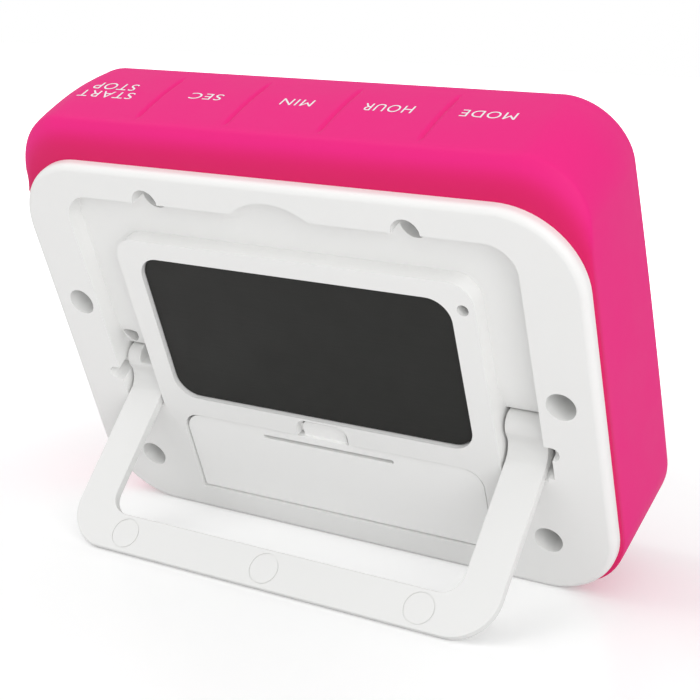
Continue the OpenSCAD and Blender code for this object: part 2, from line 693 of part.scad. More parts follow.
module magnet_plate() color([0.7, 0.71, 0.72]) standing() translate([0, 0, recess_z])
    slab(recess_floor, recess_floor + keeper_t)
        outline(recess_w - 2 * fit, recess_h - 2 * fit, recess_r - fit);

// ---------- keys ----------

module key(i) color([0.94, 0.25, 0.55]) standing() {
    // Pad, whose top follows the sleeve
    intersection() {
        translate([key_x(i), key_y, sleeve_top - pad_t]) linear_extrude(height = 2 * pad_t)
            outline(key_pitch - key_gap, key_len - 2 * key_gap, pad_r);
        sleeve_form();
    }
    translate([key_x(i), switch_y, plunger_top])
        cylinder(r = post_r, h = sleeve_top - pad_t - plunger_top + eps);
}

module plunger(i) color([0.15, 0.15, 0.16]) standing()
    translate([key_x(i), switch_y, switch_top - 2])
        cylinder(r = plunger_r, h = plunger_top - switch_top + 2);

module key_mode() key(0);
module key_hour() key(1);
module key_min() key(2);
module key_sec() key(3);
module key_start_stop() key(4);
module plunger_mode() plunger(0);
module plunger_hour() plunger(1);
module plunger_min() plunger(2);
module plunger_sec() plunger(3);
module plunger_start_stop() plunger(4);

module switch_bodies() color([0.75, 0.76, 0.78]) standing() for (i = [0:4]) difference() {
    translate([key_x(i) - switch_w / 2, board_back, switch_top - switch_h])
        cube([switch_w, switch_y - board_back + switch_w / 2, switch_h]);
    translate([key_x(i), switch_y, switch_top - 2 - key_travel - 0.1])
        cylinder(r = plunger_r + 0.08, h = switch_h);
}

// ---------- display ----------

module display_lens() color([0.8, 0.85, 0.85, 0.4]) standing() translate([0, 0, display_z])
    slab(lens_front, lens_back) outline(lens_w, lens_h, lens_r);

module display_glass() color([0.62, 0.68, 0.6]) standing() translate([0, 0, display_z])
    slab(glass_front, glass_back) square([glass_w, glass_h], center = true);

module display_reflector() color([0.75, 0.76, 0.74]) standing() translate([0, 0, display_z])
    slab(glass_back, glass_back + reflector_t) square([glass_w - 4, glass_h - 7], center = true);

// Open frame that presses glass and contact strips against the circuit board
module display_holder() color([0.9, 0.9, 0.88]) standing() translate([0, 0, display_z]) difference() {
    slab(glass_front, board_front) square([holder_w, holder_h], center = true);
    slab(glass_front - 1, board_front + 1)
        square([glass_w + 2 * fit, glass_h + 2 * fit], center = true);
}

module contact_strips() color([0.35, 0.3, 0.35]) standing() for (s = [-1, 1])
    translate([0, 0, display_z + s * (glass_h / 2 - strip_in - strip_t / 2)])
        slab(glass_back, board_front) square([glass_w - 6, strip_t], center = true);

// ---------- electronics ----------

module circuit_board() color([0.2, 0.45, 0.25]) standing() difference() {
    translate([0, 0, (board_top + board_bottom) / 2]) slab(board_front, board_back)
        outline(board_w, board_top - board_bottom, board_r);
    at_screws() rod(boss_r + 0.4, board_front - 1, board_back + 1);
    for (p = board_places) translate([p[0], 0, p[1]]) rod(1.1, board_front - 1, board_back + 1);
}

module board_screws() color([0.75, 0.75, 0.76]) standing()
    for (p = board_places) translate([p[0], 0, p[1]]) {
        rod(0.8, board_front - 2.4, board_back);
        rod(1.6, board_back, board_back + 1);
    }

// Drop of resin over the clock chip
module chip_cap() color([0.1, 0.1, 0.1]) standing()
    translate([0, board_back, chip_cap_z]) rotate([-90, 0, 0]) rotate_extrude() intersection() {
        translate([0, chip_cap_h - chip_cap_r]) circle(chip_cap_r);
        square([chip_cap_r, chip_cap_h]);
    }

module crystal() color([0.8, 0.8, 0.82]) standing()
    translate([crystal_x, board_back + crystal_r, crystal_z]) cylinder(r = crystal_r, h = crystal_l);

module capacitors() color([0.15, 0.18, 0.3]) standing()
    for (x = capacitor_x) translate([x, 0, capacitor_z]) rod(capacitor_r, board_back, board_back + capacitor_l);

module buzzer() color([0.12, 0.12, 0.12]) standing() translate([buzzer_x, 0, buzzer_z]) difference() {
    rod(buzzer_r, block_floor - ring_t - buzzer_t, block_floor - ring_t);
    rod(buzzer_r - 1, block_floor - ring_t - 1, block_floor);
}

module buzzer_ring() color([0.3, 0.3, 0.3]) standing() translate([buzzer_x, 0, buzzer_z]) difference() {
    rod(buzzer_r, block_floor - ring_t, block_floor);
    rod(buzzer_r - 1.2, block_floor - ring_t - 1, block_floor + 1);
}

module buzzer_leads() color([0.7, 0.1, 0.1]) standing() for (s = [-1, 1])
    translate([buzzer_x + s * 2.5, 0, buzzer_z]) rod(0.4, board_back, block_floor - ring_t - buzzer_t);

// ---------- batteries ----------

// Cell along X; way is 1 where its button points to +X
module cell(z, way) translate([way * (spring_l - button_l) / 2, cell_y, z]) {
    translate([-way * nub_l / 2, 0, 0]) rotate([0, 90, 0])
        cylinder(r = cell_r, h = cell_l - nub_l, center = true);
    translate([way * (cell_l / 2 - nub_l), 0, 0]) rotate([0, way * 90, 0])
        translate([0, 0, -eps]) cylinder(r = nub_r, h = nub_l + eps);
}

module battery_upper() color([0.25, 0.25, 0.28]) standing() cell(upper_cell_z, 1);
module battery_lower() color([0.25, 0.25, 0.28]) standing() cell(lower_cell_z, -1);

// Points of a conical spring from radius r0 at x = 0 to r1 at x = l, as rings of a wire
function coil_point(k, l, r0, r1) =
    let (t = k / (spring_turns * spring_steps), a = 360 * k / spring_steps, r = r0 + (r1 - r0) * t)
        [l * t, r * cos(a), r * sin(a)];
function coil_ring(k, l, r0, r1) =
    let (p = coil_point(k, l, r0, r1), a = 360 * k / spring_steps)
        [for (j = [0:wire_sides - 1]) let (b = 360 * j / wire_sides)
            p + wire_r * [sin(b), cos(b) * cos(a), cos(b) * sin(a)]];

module contact_spring(l, r0, r1) {
    rings = spring_turns * spring_steps;
    last = rings * wire_sides;
    points = [for (k = [0:rings]) each coil_ring(k, l, r0, r1)];
    sides = [for (k = [0:rings - 1], j = [0:wire_sides - 1])
        let (n = (j + 1) % wire_sides, a = k * wire_sides)
            [a + j, a + n, a + wire_sides + n, a + wire_sides + j]];
    polyhedron(points, concat(sides, [[for (j = [wire_sides - 1:-1:0]) j],
                                      [for (j = [0:wire_sides - 1]) last + j]]), convexity = 8);
}

// Sheet-metal plate at one end of the bay; side is 1 at +X
module contact_plate(side, z, h) {
    translate([side * (bay_l - plate_t) / 2, cell_y + 0.3, z]) cube([plate_t, 2 * cell_r - 1, h], center = true);
}

module contact_button(side, z) {
    translate([side * (bay_l / 2 - plate_t + eps), cell_y, z]) rotate([0, -side * 90, 0])
        cylinder(r1 = 2.6, r2 = 2, h = button_l + eps - 0.05);
}

module placed_spring(side, z) {
    translate([side * (bay_l / 2 - plate_t - wire_r + 0.1), cell_y, z]) mirror([side > 0 ? 1 : 0, 0, 0])
        contact_spring(spring_l - 2 * wire_r, 4, 2.4);
}

// Joins the two cells at the far end: a spring for one and a button for the other
module link_contact() color([0.85, 0.85, 0.86]) standing() {
    contact_plate(1, bay_mid, bay_h - 0.6);
    contact_button(1, upper_cell_z);
    placed_spring(1, lower_cell_z);
}

// Solder tail of a terminal, through the bay's wall to the circuit board
module solder_tail(z) {
    translate([-(bay_l - plate_t) / 2, (board_back + cell_y) / 2, z])
        cube([plate_t, cell_y - board_back, tail_w], center = true);
}

module positive_terminal() color([0.85, 0.85, 0.86]) standing() {
    contact_plate(-1, lower_cell_z, cell_d - 1);
    contact_button(-1, lower_cell_z);
    solder_tail(lower_cell_z);
}

module negative_terminal() color([0.85, 0.85, 0.86]) standing() {
    contact_plate(-1, upper_cell_z, cell_d - 1);
    placed_spring(-1, upper_cell_z);
    solder_tail(upper_cell_z);
}

module case_screws() color([0.6, 0.6, 0.62]) standing() at_screws() {
    difference() {
        rod(screw_head_r, screw_seat, screw_seat + screw_head_h);
        for (a = [0, 90]) rotate([0, a, 0]) translate([-1.2, screw_seat + 0.5, -0.3]) cube([2.4, 2, 0.6]);
    }
    rod(screw_r, screw_seat - screw_l, screw_seat + eps);
}

sleeve();
front_housing();
rear_cover();
battery_door();
stand();
magnet();
magnet_plate();
key_mode();
key_hour();
key_min();
key_sec();
key_start_stop();
plunger_mode();
plunger_hour();
plunger_min();
plunger_sec();
plunger_start_stop();
switch_bodies();
display_lens();
display_glass();
display_reflector();
display_holder();
contact_strips();
circuit_board();
board_screws();
chip_cap();
crystal();
capacitors();
buzzer();
buzzer_ring();
buzzer_leads();
battery_upper();
battery_lower();
link_contact();
positive_terminal();
negative_terminal();
case_screws();
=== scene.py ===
"""Looks of a bench timer: a silicone sleeve over a white housing, with five keys on top.

Sizes are in millimetres in the case frame, whose x runs to the right seen from the front,
y runs back from the seam of the rear cover, and z runs up along the leaning case.
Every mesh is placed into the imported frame, which is in metres.
"""

import json
import logging
import math
from collections.abc import Callable, Iterator
from contextlib import contextmanager
from dataclasses import dataclass, field, replace
from enum import Enum

import bmesh
import bpy
import numpy as np
from mathutils import Matrix, Vector


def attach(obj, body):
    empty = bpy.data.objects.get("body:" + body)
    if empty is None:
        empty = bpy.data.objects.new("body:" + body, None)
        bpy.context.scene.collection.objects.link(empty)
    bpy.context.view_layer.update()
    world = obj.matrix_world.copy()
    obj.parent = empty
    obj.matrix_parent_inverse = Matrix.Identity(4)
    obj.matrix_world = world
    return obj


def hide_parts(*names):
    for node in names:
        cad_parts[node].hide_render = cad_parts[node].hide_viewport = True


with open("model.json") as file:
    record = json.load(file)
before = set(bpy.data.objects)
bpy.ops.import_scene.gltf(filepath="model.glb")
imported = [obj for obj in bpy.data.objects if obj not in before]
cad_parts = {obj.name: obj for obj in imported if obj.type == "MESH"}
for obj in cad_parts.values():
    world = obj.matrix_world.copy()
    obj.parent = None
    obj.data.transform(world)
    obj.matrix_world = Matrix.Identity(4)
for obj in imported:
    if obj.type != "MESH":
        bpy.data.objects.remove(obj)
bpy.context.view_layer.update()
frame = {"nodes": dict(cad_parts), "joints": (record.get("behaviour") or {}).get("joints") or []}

MM = 0.001
LOG = logging.getLogger("lab_timer")
SHARP_ANGLE = math.radians(32)
FLAT_ANGLE = math.radians(0.4)
SAME_PLACE = 2e-6
MARK_DEPTH = 0.12
SEED = 7


# ---------- shared helpers ----------


def show(name: str, data: bpy.types.ID) -> bpy.types.Object:
    """Returns a new object in the scene that carries the data.

    Args:
        name: Name of the object.
        data: What it carries, such as a mesh or a lamp.

    Returns:
        The object.
    """
    made = bpy.data.objects.new(name, data)
    bpy.context.scene.collection.objects.link(made)
    return made


@contextmanager
def editing(mesh: bpy.types.Mesh, keep: bool = True) -> Iterator[bmesh.types.BMesh]:
    """Opens a mesh for editing.

    Args:
        mesh: The mesh.
        keep: If the edit is written back to the mesh at the end.

    Yields:
        The editable mesh.
    """
    work = bmesh.new()
    work.from_mesh(mesh)
    yield work
    if keep:
        work.to_mesh(mesh)
    work.free()


class Nodes:
    """Adds and links the nodes of one tree."""

    def __init__(self, tree: bpy.types.NodeTree) -> None:
        """Starts from a tree."""
        self.tree = tree

    def add(self, kind: str, sockets: dict | None = None, **settings: object) -> bpy.types.Node:
        """Adds a node.

        Args:
            kind: Blender's name of the node.
            sockets: Values or output sockets for its inputs, by name or place.
            settings: Properties of the node.

        Returns:
            The node.
        """
        node = self.tree.nodes.new(kind)
        for key, value in settings.items():
            setattr(node, key, value)
        for key, value in (sockets or {}).items():
            if isinstance(value, bpy.types.NodeSocket):
                self.tree.links.new(value, node.inputs[key])
            else:
                node.inputs[key].default_value = value
        return node

    def out(
        self, kind: str, sockets: dict | None = None, pick: int | str = 0, **settings: object
    ) -> bpy.types.NodeSocket:
        """Adds a node and returns the picked one of its outputs."""
        return self.add(kind, sockets, **settings).outputs[pick]


# ---------- case frame ----------


class CaseFrame:
    """The leaning case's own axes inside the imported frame."""

    def __init__(self) -> None:
        """Finds the axes from the middle key's travel, and the origin from the cover's seam."""
        press = next(j for j in frame["joints"] if j["name"] == "key_min_press")
        self.right = Vector((1.0, 0.0, 0.0))
        self.up = -Vector(press["axis"]).normalized()
        self.back = self.up.cross(self.right)
        axes = Matrix((self.right, self.back, self.up))
        seam = self._reach("sleeve", self.back)[1]
        middle = sum(self._reach("rear_cover", self.up)) / 2
        self.to_case = np.array(axes)
        self.origin = axes.transposed() @ Vector((0.0, seam, middle))

    def _reach(self, node: str, axis: Vector) -> tuple[float, float]:
        """Returns how far a node reaches along an axis, in metres."""
        along = self.points(node) @ np.array(axis)
        return float(along.min()), float(along.max())

    @staticmethod
    def points(node: str) -> np.ndarray:
        """Returns a node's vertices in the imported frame, in metres.

        Args:
            node: Name of the node.

        Returns:
            Rows of x, y, z.
        """
        mesh = frame["nodes"][node].data
        flat = np.zeros(len(mesh.vertices) * 3)
        mesh.vertices.foreach_get("co", flat)
        return flat.reshape(-1, 3)

    def in_case(self, node: str) -> np.ndarray:
        """Returns a node's vertices in the case frame, in millimetres."""
        return (self.points(node) - np.array(self.origin)) @ self.to_case.T / MM

    def span(self, node: str) -> tuple[np.ndarray, np.ndarray]:
        """Returns a node's lowest and highest corners in the case frame."""
        points = self.in_case(node)
        return points.min(0), points.max(0)

    def place(self, points: np.ndarray) -> np.ndarray:
        """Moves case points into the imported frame.

        Args:
            points: Rows of x, y, z in millimetres.

        Returns:
            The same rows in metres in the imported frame.
        """
        return np.asarray(points, float) @ self.to_case * MM + np.array(self.origin)

    def direction(self, vectors: np.ndarray) -> np.ndarray:
        """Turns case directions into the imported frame."""
        return np.asarray(vectors, float) @ self.to_case


CASE = CaseFrame()


# ---------- finishes ----------

MADE: dict[str, bpy.types.Material] = {}


class NodeSheet(Nodes):
    """The nodes of one material."""

    def __init__(self, name: str) -> None:
        """Starts an empty material with an output.

        Args:
            name: Name of the material.
        """
        self.material = bpy.data.materials.new(name)
        self.material.use_nodes = True
        super().__init__(self.material.node_tree)
        self.tree.nodes.clear()
        self.output = self.add("ShaderNodeOutputMaterial")

    def noise(
        self, place: bpy.types.NodeSocket, size: float, **more: float
    ) -> bpy.types.NodeSocket:
        """Adds a noise whose blotches have a size in millimetres."""
        sockets = {"Vector": place, "Scale": 1 / (size * MM), **more}
        return self.out("ShaderNodeTexNoise", sockets, "Fac")

    def close(self, shader: bpy.types.NodeSocket) -> bpy.types.Material:
        """Links the finished shader to the output and returns the material."""
        self.tree.links.new(shader, self.output.inputs["Surface"])
        return self.material


@dataclass(frozen=True)
class Surface:
    """A finish, whose material is made once and kept under its name."""

    name: str

    def material(self) -> bpy.types.Material:
        """Makes the material at the first call.

        Returns:
            The material.
        """
        if self.name not in MADE:
            sheet = NodeSheet(self.name)
            MADE[self.name] = sheet.close(self.shader(sheet))
        return MADE[self.name]

    def shader(self, sheet: NodeSheet) -> bpy.types.NodeSocket:
        """Adds the nodes of this kind of finish and returns the shader."""
        raise NotImplementedError


@dataclass(frozen=True)
class Finish(Surface):
    """A moulded, rubber, metal or printed surface, with its grain and its slight unevenness, and
    where given a painted shade near the cover's seam.
    """

    colour: tuple[float, float, float]
    roughness: float = 0.45
    rough_spread: float = 0.05
    metallic: float = 0.0
    specular: float = 0.5
    grain: float = 0.35
    grain_depth: float = 0.004
    grain_stretch: tuple[float, float, float] = (1.0, 1.0, 1.0)
    cloud: float = 14.0
    cloud_share: float = 0.02
    cloud_range: tuple[float, float] = (0.3, 0.7)
    swell: float = 0.0
    coat: float = 0.0
    coat_roughness: float = 0.12
    # Painted shade: the darker colour that the surface takes near the cover's seam, and how far
    # from the seam it reaches, in millimetres.
    seam_shade: tuple[float, float, float] | None = None
    seam_shade_depth: float = 1.7

    def shader(self, sheet: NodeSheet) -> bpy.types.NodeSocket:
        """Adds the grain, the cloudy unevenness, the painted shade near the cover's seam and the
        shader.

        Args:
            sheet: The material's nodes.

        Returns:
            The shader.
        """
        place = sheet.out("ShaderNodeTexCoord", pick="Object")
        turned = sheet.out("ShaderNodeMapping", {
            "Vector": place, "Location": -CASE.origin, "Scale": self.grain_stretch,
        })
        grain = sheet.noise(turned, self.grain, Detail=3.0, Roughness=0.6)
        cloud = sheet.noise(place, self.cloud, Detail=4.0, Roughness=0.55)
        low = tuple(c * (1 - self.cloud_share) for c in self.colour) + (1.0,)
        high = tuple(min(1.0, c * (1 + self.cloud_share)) for c in self.colour) + (1.0,)
        colour = sheet.out("ShaderNodeMix", {0: cloud, 6: low, 7: high}, 2, data_type="RGBA")
        # Painted shade: the colour blends to a darker crimson towards the cover's seam, standing in
        # for the cover's shade and the pink light bounced there.
        if self.seam_shade:
            back = sheet.out(
                "ShaderNodeVectorMath", {0: place, 1: CASE.back}, "Value", operation="DOT_PRODUCT"
            )
            seam = CASE.origin.dot(CASE.back)
            near = sheet.out(
                "ShaderNodeMapRange",
                {"Value": back, "From Min": seam - self.seam_shade_depth * MM, "From Max": seam},
                interpolation_type="SMOOTHSTEP",
            )
            colour = sheet.out(
                "ShaderNodeMix", {0: near, 6: colour, 7: self.seam_shade + (1.0,)}, 2, data_type="RGBA"
            )
        rough = sheet.out("ShaderNodeMapRange", {
            "Value": cloud, "From Min": self.cloud_range[0], "From Max": self.cloud_range[1],
            "To Min": self.roughness - self.rough_spread,
            "To Max": self.roughness + self.rough_spread,
        })
        relief = sheet.out(
            "ShaderNodeBump", {"Height": grain, "Distance": self.grain_depth * MM, "Strength": 1.0}
        )
        if self.swell:
            relief = sheet.out("ShaderNodeBump", {
                "Height": cloud, "Distance": self.swell * MM, "Strength": 1.0, "Normal": relief,
            })
        return sheet.out("ShaderNodeBsdfPrincipled", {
            "Base Color": colour, "Roughness": rough, "Metallic": self.metallic,
            "Specular IOR Level": self.specular, "Coat Weight": self.coat,
            "Coat Roughness": self.coat_roughness, "Normal": relief,
        })


@dataclass(frozen=True)
class ClearFinish(Surface):
    """A clear or lightly tinted moulding, polished on both faces."""

    tint: tuple[float, float, float]
    roughness: float = 0.03
    ior: float = 1.49
    haze: float = 20
    haze_share: tuple[float, float] = (0.6, 1.6)

    def shader(self, sheet: NodeSheet) -> bpy.types.NodeSocket:
        """Adds the haze and the shader.

        Args:
            sheet: The material's nodes.

        Returns:
            The shader.
        """
        low, high = self.haze_share
        haze = sheet.noise(sheet.out("ShaderNodeTexCoord", pick="Object"), self.haze, Detail=3.0)
        rough = sheet.out(
            "ShaderNodeMapRange",
            {"Value": haze, "To Min": self.roughness * low, "To Max": self.roughness * high},
        )
        return sheet.out("ShaderNodeBsdfPrincipled", {
            "Base Color": self.tint + (1.0,), "Roughness": rough, "Transmission Weight": 1.0,
            "IOR": self.ior,
        })


# The pink's third colour is a painted shade: a darker crimson near the cover's seam.
PINK = Finish(
    "silicone_pink", (0.81, 0.014, 0.215), 0.58, 0.04, specular=0.22, grain=0.5,
    grain_depth=0.006, cloud=9.0, cloud_share=0.025, seam_shade=(0.70, 0.011, 0.125),
)
PRINT = Finish("key_print", (0.86, 0.84, 0.85), 0.5, grain=0.2, cloud=3.0)
COVER_WHITE = Finish(
    "cover_white", (0.87, 0.87, 0.86), 0.42, 0.05, specular=0.45, grain=0.3,
    cloud=11.0, cloud_share=0.008, swell=0.03,
)
# Painted light and shade: the door is a lighter copy and the stand a darker copy of the cover's
# white, set to how bright each looks under the lamps.
DOOR_WHITE_PAINTED_LIGHT = replace(COVER_WHITE, name="door_white_painted_light", colour=(0.93, 0.93, 0.92))
STAND_WHITE_PAINTED_SHADE = replace(COVER_WHITE, name="stand_white_painted_shade", colour=(0.79, 0.79, 0.78))
HOUSING_WHITE = Finish(
    "housing_white", (0.79, 0.79, 0.775), 0.38, 0.05, grain=0.3, cloud=12.0, cloud_share=0.01,
)
MAGNET_BLACK = Finish(
    "magnet_black", (0.012, 0.012, 0.0105), 0.5, 0.06, specular=0.34, grain=0.5, grain_depth=0.02,
    grain_stretch=(0.05, 1.0, 1.0), cloud=7.0, cloud_share=0.14,
)
STEEL = Finish(
    "plated_steel", (0.62, 0.62, 0.63), 0.28, 0.06, metallic=1.0, grain=0.3, grain_depth=0.006,
    grain_stretch=(0.1, 1.0, 1.0), cloud=4.0, cloud_share=0.06,
)
FOIL = Finish("reflector_foil", (0.7, 0.71, 0.69), 0.45, metallic=0.6, grain=0.2, cloud=5.0)
ZEBRA = Finish("striped_rubber", (0.12, 0.11, 0.12), 0.6, grain=0.2, cloud=0.3, cloud_share=0.5)
MASK_GREEN = Finish(
    "solder_mask", (0.03, 0.16, 0.06), 0.3, grain=0.6, grain_depth=0.01, cloud=5.0,
    cloud_share=0.12, coat=0.3,
)
BLACK = Finish("black_moulding", (0.02, 0.02, 0.022), 0.4, grain=0.3, cloud=5.0, cloud_share=0.1)
SHRINK = Finish("shrink_sleeve", (0.02, 0.03, 0.1), 0.25, grain=0.6, cloud=4.0, cloud_share=0.1)
RED_WIRE = Finish(
    "wire_insulation", (0.45, 0.02, 0.02), 0.4, grain=0.3, cloud=3.0, cloud_share=0.08
)
LCD = Finish(
    "display_glass", (0.40, 0.45, 0.36), 0.12, 0.02, grain=0.4, grain_depth=0.0005, cloud=16.0
)
INK = Finish("display_ink", (0.02, 0.022, 0.02), 0.3, grain=0.3, cloud=4.0, cloud_share=0.05)
JACKET = Finish(
    "battery_film", (0.05, 0.05, 0.06), 0.3, grain=0.5, grain_depth=0.002, cloud=8.0, coat=0.3
)
LENS = ClearFinish("clear_window", (0.97, 0.99, 0.98))


# ---------- mesh making ----------


def piece(name: str, points: np.ndarray, faces: list, finish: Surface) -> bpy.types.Object:
    """Makes a smooth mesh object from case points.

    Args:
        name: Name of the piece.
        points: Vertices in the case frame, in millimetres.
        faces: Corner numbers of each face.
        finish: Its surface.

    Returns:
        The object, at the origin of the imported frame.
    """
    mesh = bpy.data.meshes.new(name)
    mesh.from_pydata(CASE.place(points).tolist(), [], faces)
    mesh.polygons.foreach_set("use_smooth", [True] * len(mesh.polygons))
    mesh.materials.append(finish.material())
    mesh.update()
    return show(name, mesh)


def install(made: bpy.types.Object, body: str, slot: str, *nodes: str) -> None:
    """Makes a finished piece ride on its body, in place of its nodes.

    Args:
        made: The piece.
        body: Name of its body.
        slot: The record's slot for its finish; not used.
        nodes: Nodes that it stands for.
    """
    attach(made, body)
    if nodes:
        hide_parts(*nodes)
    LOG.info("%s: %d faces, rides on %s", made.name, len(made.data.polygons), body)


def flatten(made: bpy.types.Object) -> None:
    """Turns an object's live modifiers into its mesh.

    Args:
        made: The object.
    """
    bpy.context.view_layer.update()
    graph = bpy.context.evaluated_depsgraph_get()
    mesh = bpy.data.meshes.new_from_object(made.evaluated_get(graph))
    made.modifiers.clear()
    old = made.data
    made.data = mesh
    mesh.name = made.name
    bpy.data.meshes.remove(old)


def sharpen(mesh: bpy.types.Mesh) -> None:
    """Shades a mesh smooth, but for its sharp edges.

    Args:
        mesh: The mesh.
    """
    with editing(mesh) as work:
        for face in work.faces:
            face.smooth = True
        for edge in work.edges:
            turn = edge.calc_face_angle(0.0) if len(edge.link_faces) == 2 else math.pi
            edge.smooth = turn < SHARP_ANGLE


def cutting_tool(points: list, faces: list) -> bpy.types.Object:
    """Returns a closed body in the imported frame, facing outward, to cut with.

    Args:
        points: Corners in metres.
        faces: Corner numbers of each face.

    Returns:
        The body.
    """
    mesh = bpy.data.meshes.new("cutter")
    mesh.from_pydata(points, [], faces)
    with editing(mesh) as work:
        bmesh.ops.recalc_face_normals(work, faces=work.faces)
    return show("cutter", mesh)


@dataclass(frozen=True)
class Hollow:
    """A straight-sided cut: its outline as rows of x and z, and the depths that it lies between."""

    outline: tuple[tuple[float, float], ...]
    near: float
    far: float

    def cutter(self) -> bpy.types.Object:
        """Returns a closed prism of the cut.

        Returns:
            A body to cut with.
        """
        ring = np.array(self.outline)
        count = len(ring)
        points = np.array([(x, y, z) for y in (self.near, self.far) for x, z in ring])
        faces = [tuple(range(count)), tuple(range(2 * count - 1, count - 1, -1))]
        faces += [(i, i + count, (i + 1) % count + count, (i + 1) % count) for i in range(count)]
        return cutting_tool(CASE.place(points).tolist(), faces)


@dataclass(frozen=True)
class RingMark:
    """The fine round groove that an ejector pin leaves: its centre, direction and radius."""

    centre: Vector
    way: Vector
    radius: float
    wide: float = 0.18
    deep: float = 0.13
    above: float = 0.3
    count: int = 48

    def cutter(self) -> bpy.types.Object:
        """Returns a closed tube of the groove.

        Returns:
            A body to cut with.
        """
        side = self.way.orthogonal().normalized()
        other = self.way.cross(side)
        count, inner = self.count, self.radius - self.wide
        turns = [2 * math.pi * i / count for i in range(count)]
        points = [
            self.centre + (side * math.cos(t) + other * math.sin(t)) * far * MM + self.way * up * MM
            for far, up in ((self.radius, -self.deep), (self.radius, self.above),
                            (inner, self.above), (inner, -self.deep))
            for t in turns
        ]
        faces = [
            (ring * count + i, ring * count + (i + 1) % count,
             (ring + 1) % 4 * count + (i + 1) % count, (ring + 1) % 4 * count + i)
            for ring in range(4) for i in range(count)
        ]
        return cutting_tool(points, faces)


def level_marks(work: bmesh.types.BMesh, radius: float) -> tuple[RingMark, ...]:
    """Fills round flat marks, so that the rounding of edges doesn't meet them.

    Args:
        work: The mesh.
        radius: Radius of the marks in millimetres.

    Returns:
        The grooves that stand for the marks.
    """
    rings = []
    disc, alike, least_corners = math.pi * (radius * MM) ** 2, 0.03, 13
    for face in work.faces:
        if abs(face.calc_area() / disc - 1) < alike and len(face.verts) >= least_corners:
            lift = face.normal * MARK_DEPTH * MM
            rings.append(RingMark(face.calc_center_median() + lift, face.normal.copy(), radius))
            bmesh.ops.translate(work, vec=lift, verts=face.verts)
    bmesh.ops.remove_doubles(work, verts=work.verts, dist=2 * SAME_PLACE)
    return tuple(rings)


def carve(made: bpy.types.Object, hollows: tuple[Hollow | RingMark, ...]) -> None:
    """Cuts hollows out of a piece.

    Args:
        made: The piece.
        hollows: The cuts, in order.
    """
    for hollow in hollows:
        cutter = hollow.cutter()
        cut = made.modifiers.new("hollow", "BOOLEAN")
        cut.operation = "DIFFERENCE"
        cut.solver = "EXACT"
        cut.object = cutter
        flatten(made)
        bpy.data.objects.remove(cutter)


def moulded(
    node: str,
    edge: float,
    finish: Finish,
    hollows: tuple[Hollow, ...] = (),
    mark: float = 0.0,
) -> bpy.types.Object:
    """Copies a node with its sharp corners rounded as a mould leaves them.

    Args:
        node: The node to copy.
        edge: Width of the rounding in millimetres.
        finish: The surface of the copy.
        hollows: Cuts that are made before the rounding.
        mark: Radius of round moulding marks, which become fine ring grooves.

    Returns:
        The rounded copy.
    """
    mesh = frame["nodes"][node].data.copy()
    rings = ()
    with editing(mesh) as work:
        bmesh.ops.remove_doubles(work, verts=work.verts, dist=SAME_PLACE)
        dissolve = {"angle_limit": FLAT_ANGLE, "verts": work.verts, "edges": work.edges}
        bmesh.ops.dissolve_limit(work, **dissolve)
        if mark:
            rings = level_marks(work, mark)
            bmesh.ops.dissolve_limit(work, **dissolve)
    mesh.name = node + "_moulded"
    mesh.materials.clear()
    mesh.materials.append(finish.material())
    made = show(mesh.name, mesh)
    carve(made, hollows)
    bevel = made.modifiers.new("mould_rounding", "BEVEL")
    bevel.width = edge * MM
    bevel.segments = 2
    bevel.limit_method = "ANGLE"
    bevel.angle_limit = SHARP_ANGLE
    bevel.miter_outer = "MITER_SHARP"
    flatten(made)
    carve(made, rings)
    sharpen(made.data)
    even = made.modifiers.new("even_faces", "WEIGHTED_NORMAL")
    even.keep_sharp = True
    even.weight = 100
    flatten(made)
    return made


def outward(made: bpy.types.Object) -> None:
    """Reports a piece that is open or whose faces point inward.

    Args:
        made: The piece.
    """
    with editing(made.data, keep=False) as work:
        open_edges = sum(1 for edge in work.edges if len(edge.link_faces) != 2)
        volume = work.calc_volume(signed=True) / MM**3
    if volume < 0 or open_edges:
        LOG.warning("%s: signed volume %.1f mm3, %d open edges", made.name, volume, open_edges)


def dress(finish: Surface, *nodes: str) -> None:
    """Gives nodes that are shown as they are their finish.

    Args:
        finish: The finish.
        nodes: Names of the nodes.
    """
    for node in nodes:
        mesh = frame["nodes"][node].data
        mesh.materials.clear()
        mesh.materials.append(finish.material())
        LOG.info("%s: kept, finish %s", node, finish.name)


# ---------- silicone sleeve and keys ----------


class Side(Enum):
    """The four straights and four corners of a rounded rectangle, clockwise from the top."""

    TOP = 0
    TOP_RIGHT = 1
    RIGHT = 2
    LOW_RIGHT = 3
    LOW = 4
    LOW_LEFT = 5
    LEFT = 6
    TOP_LEFT = 7


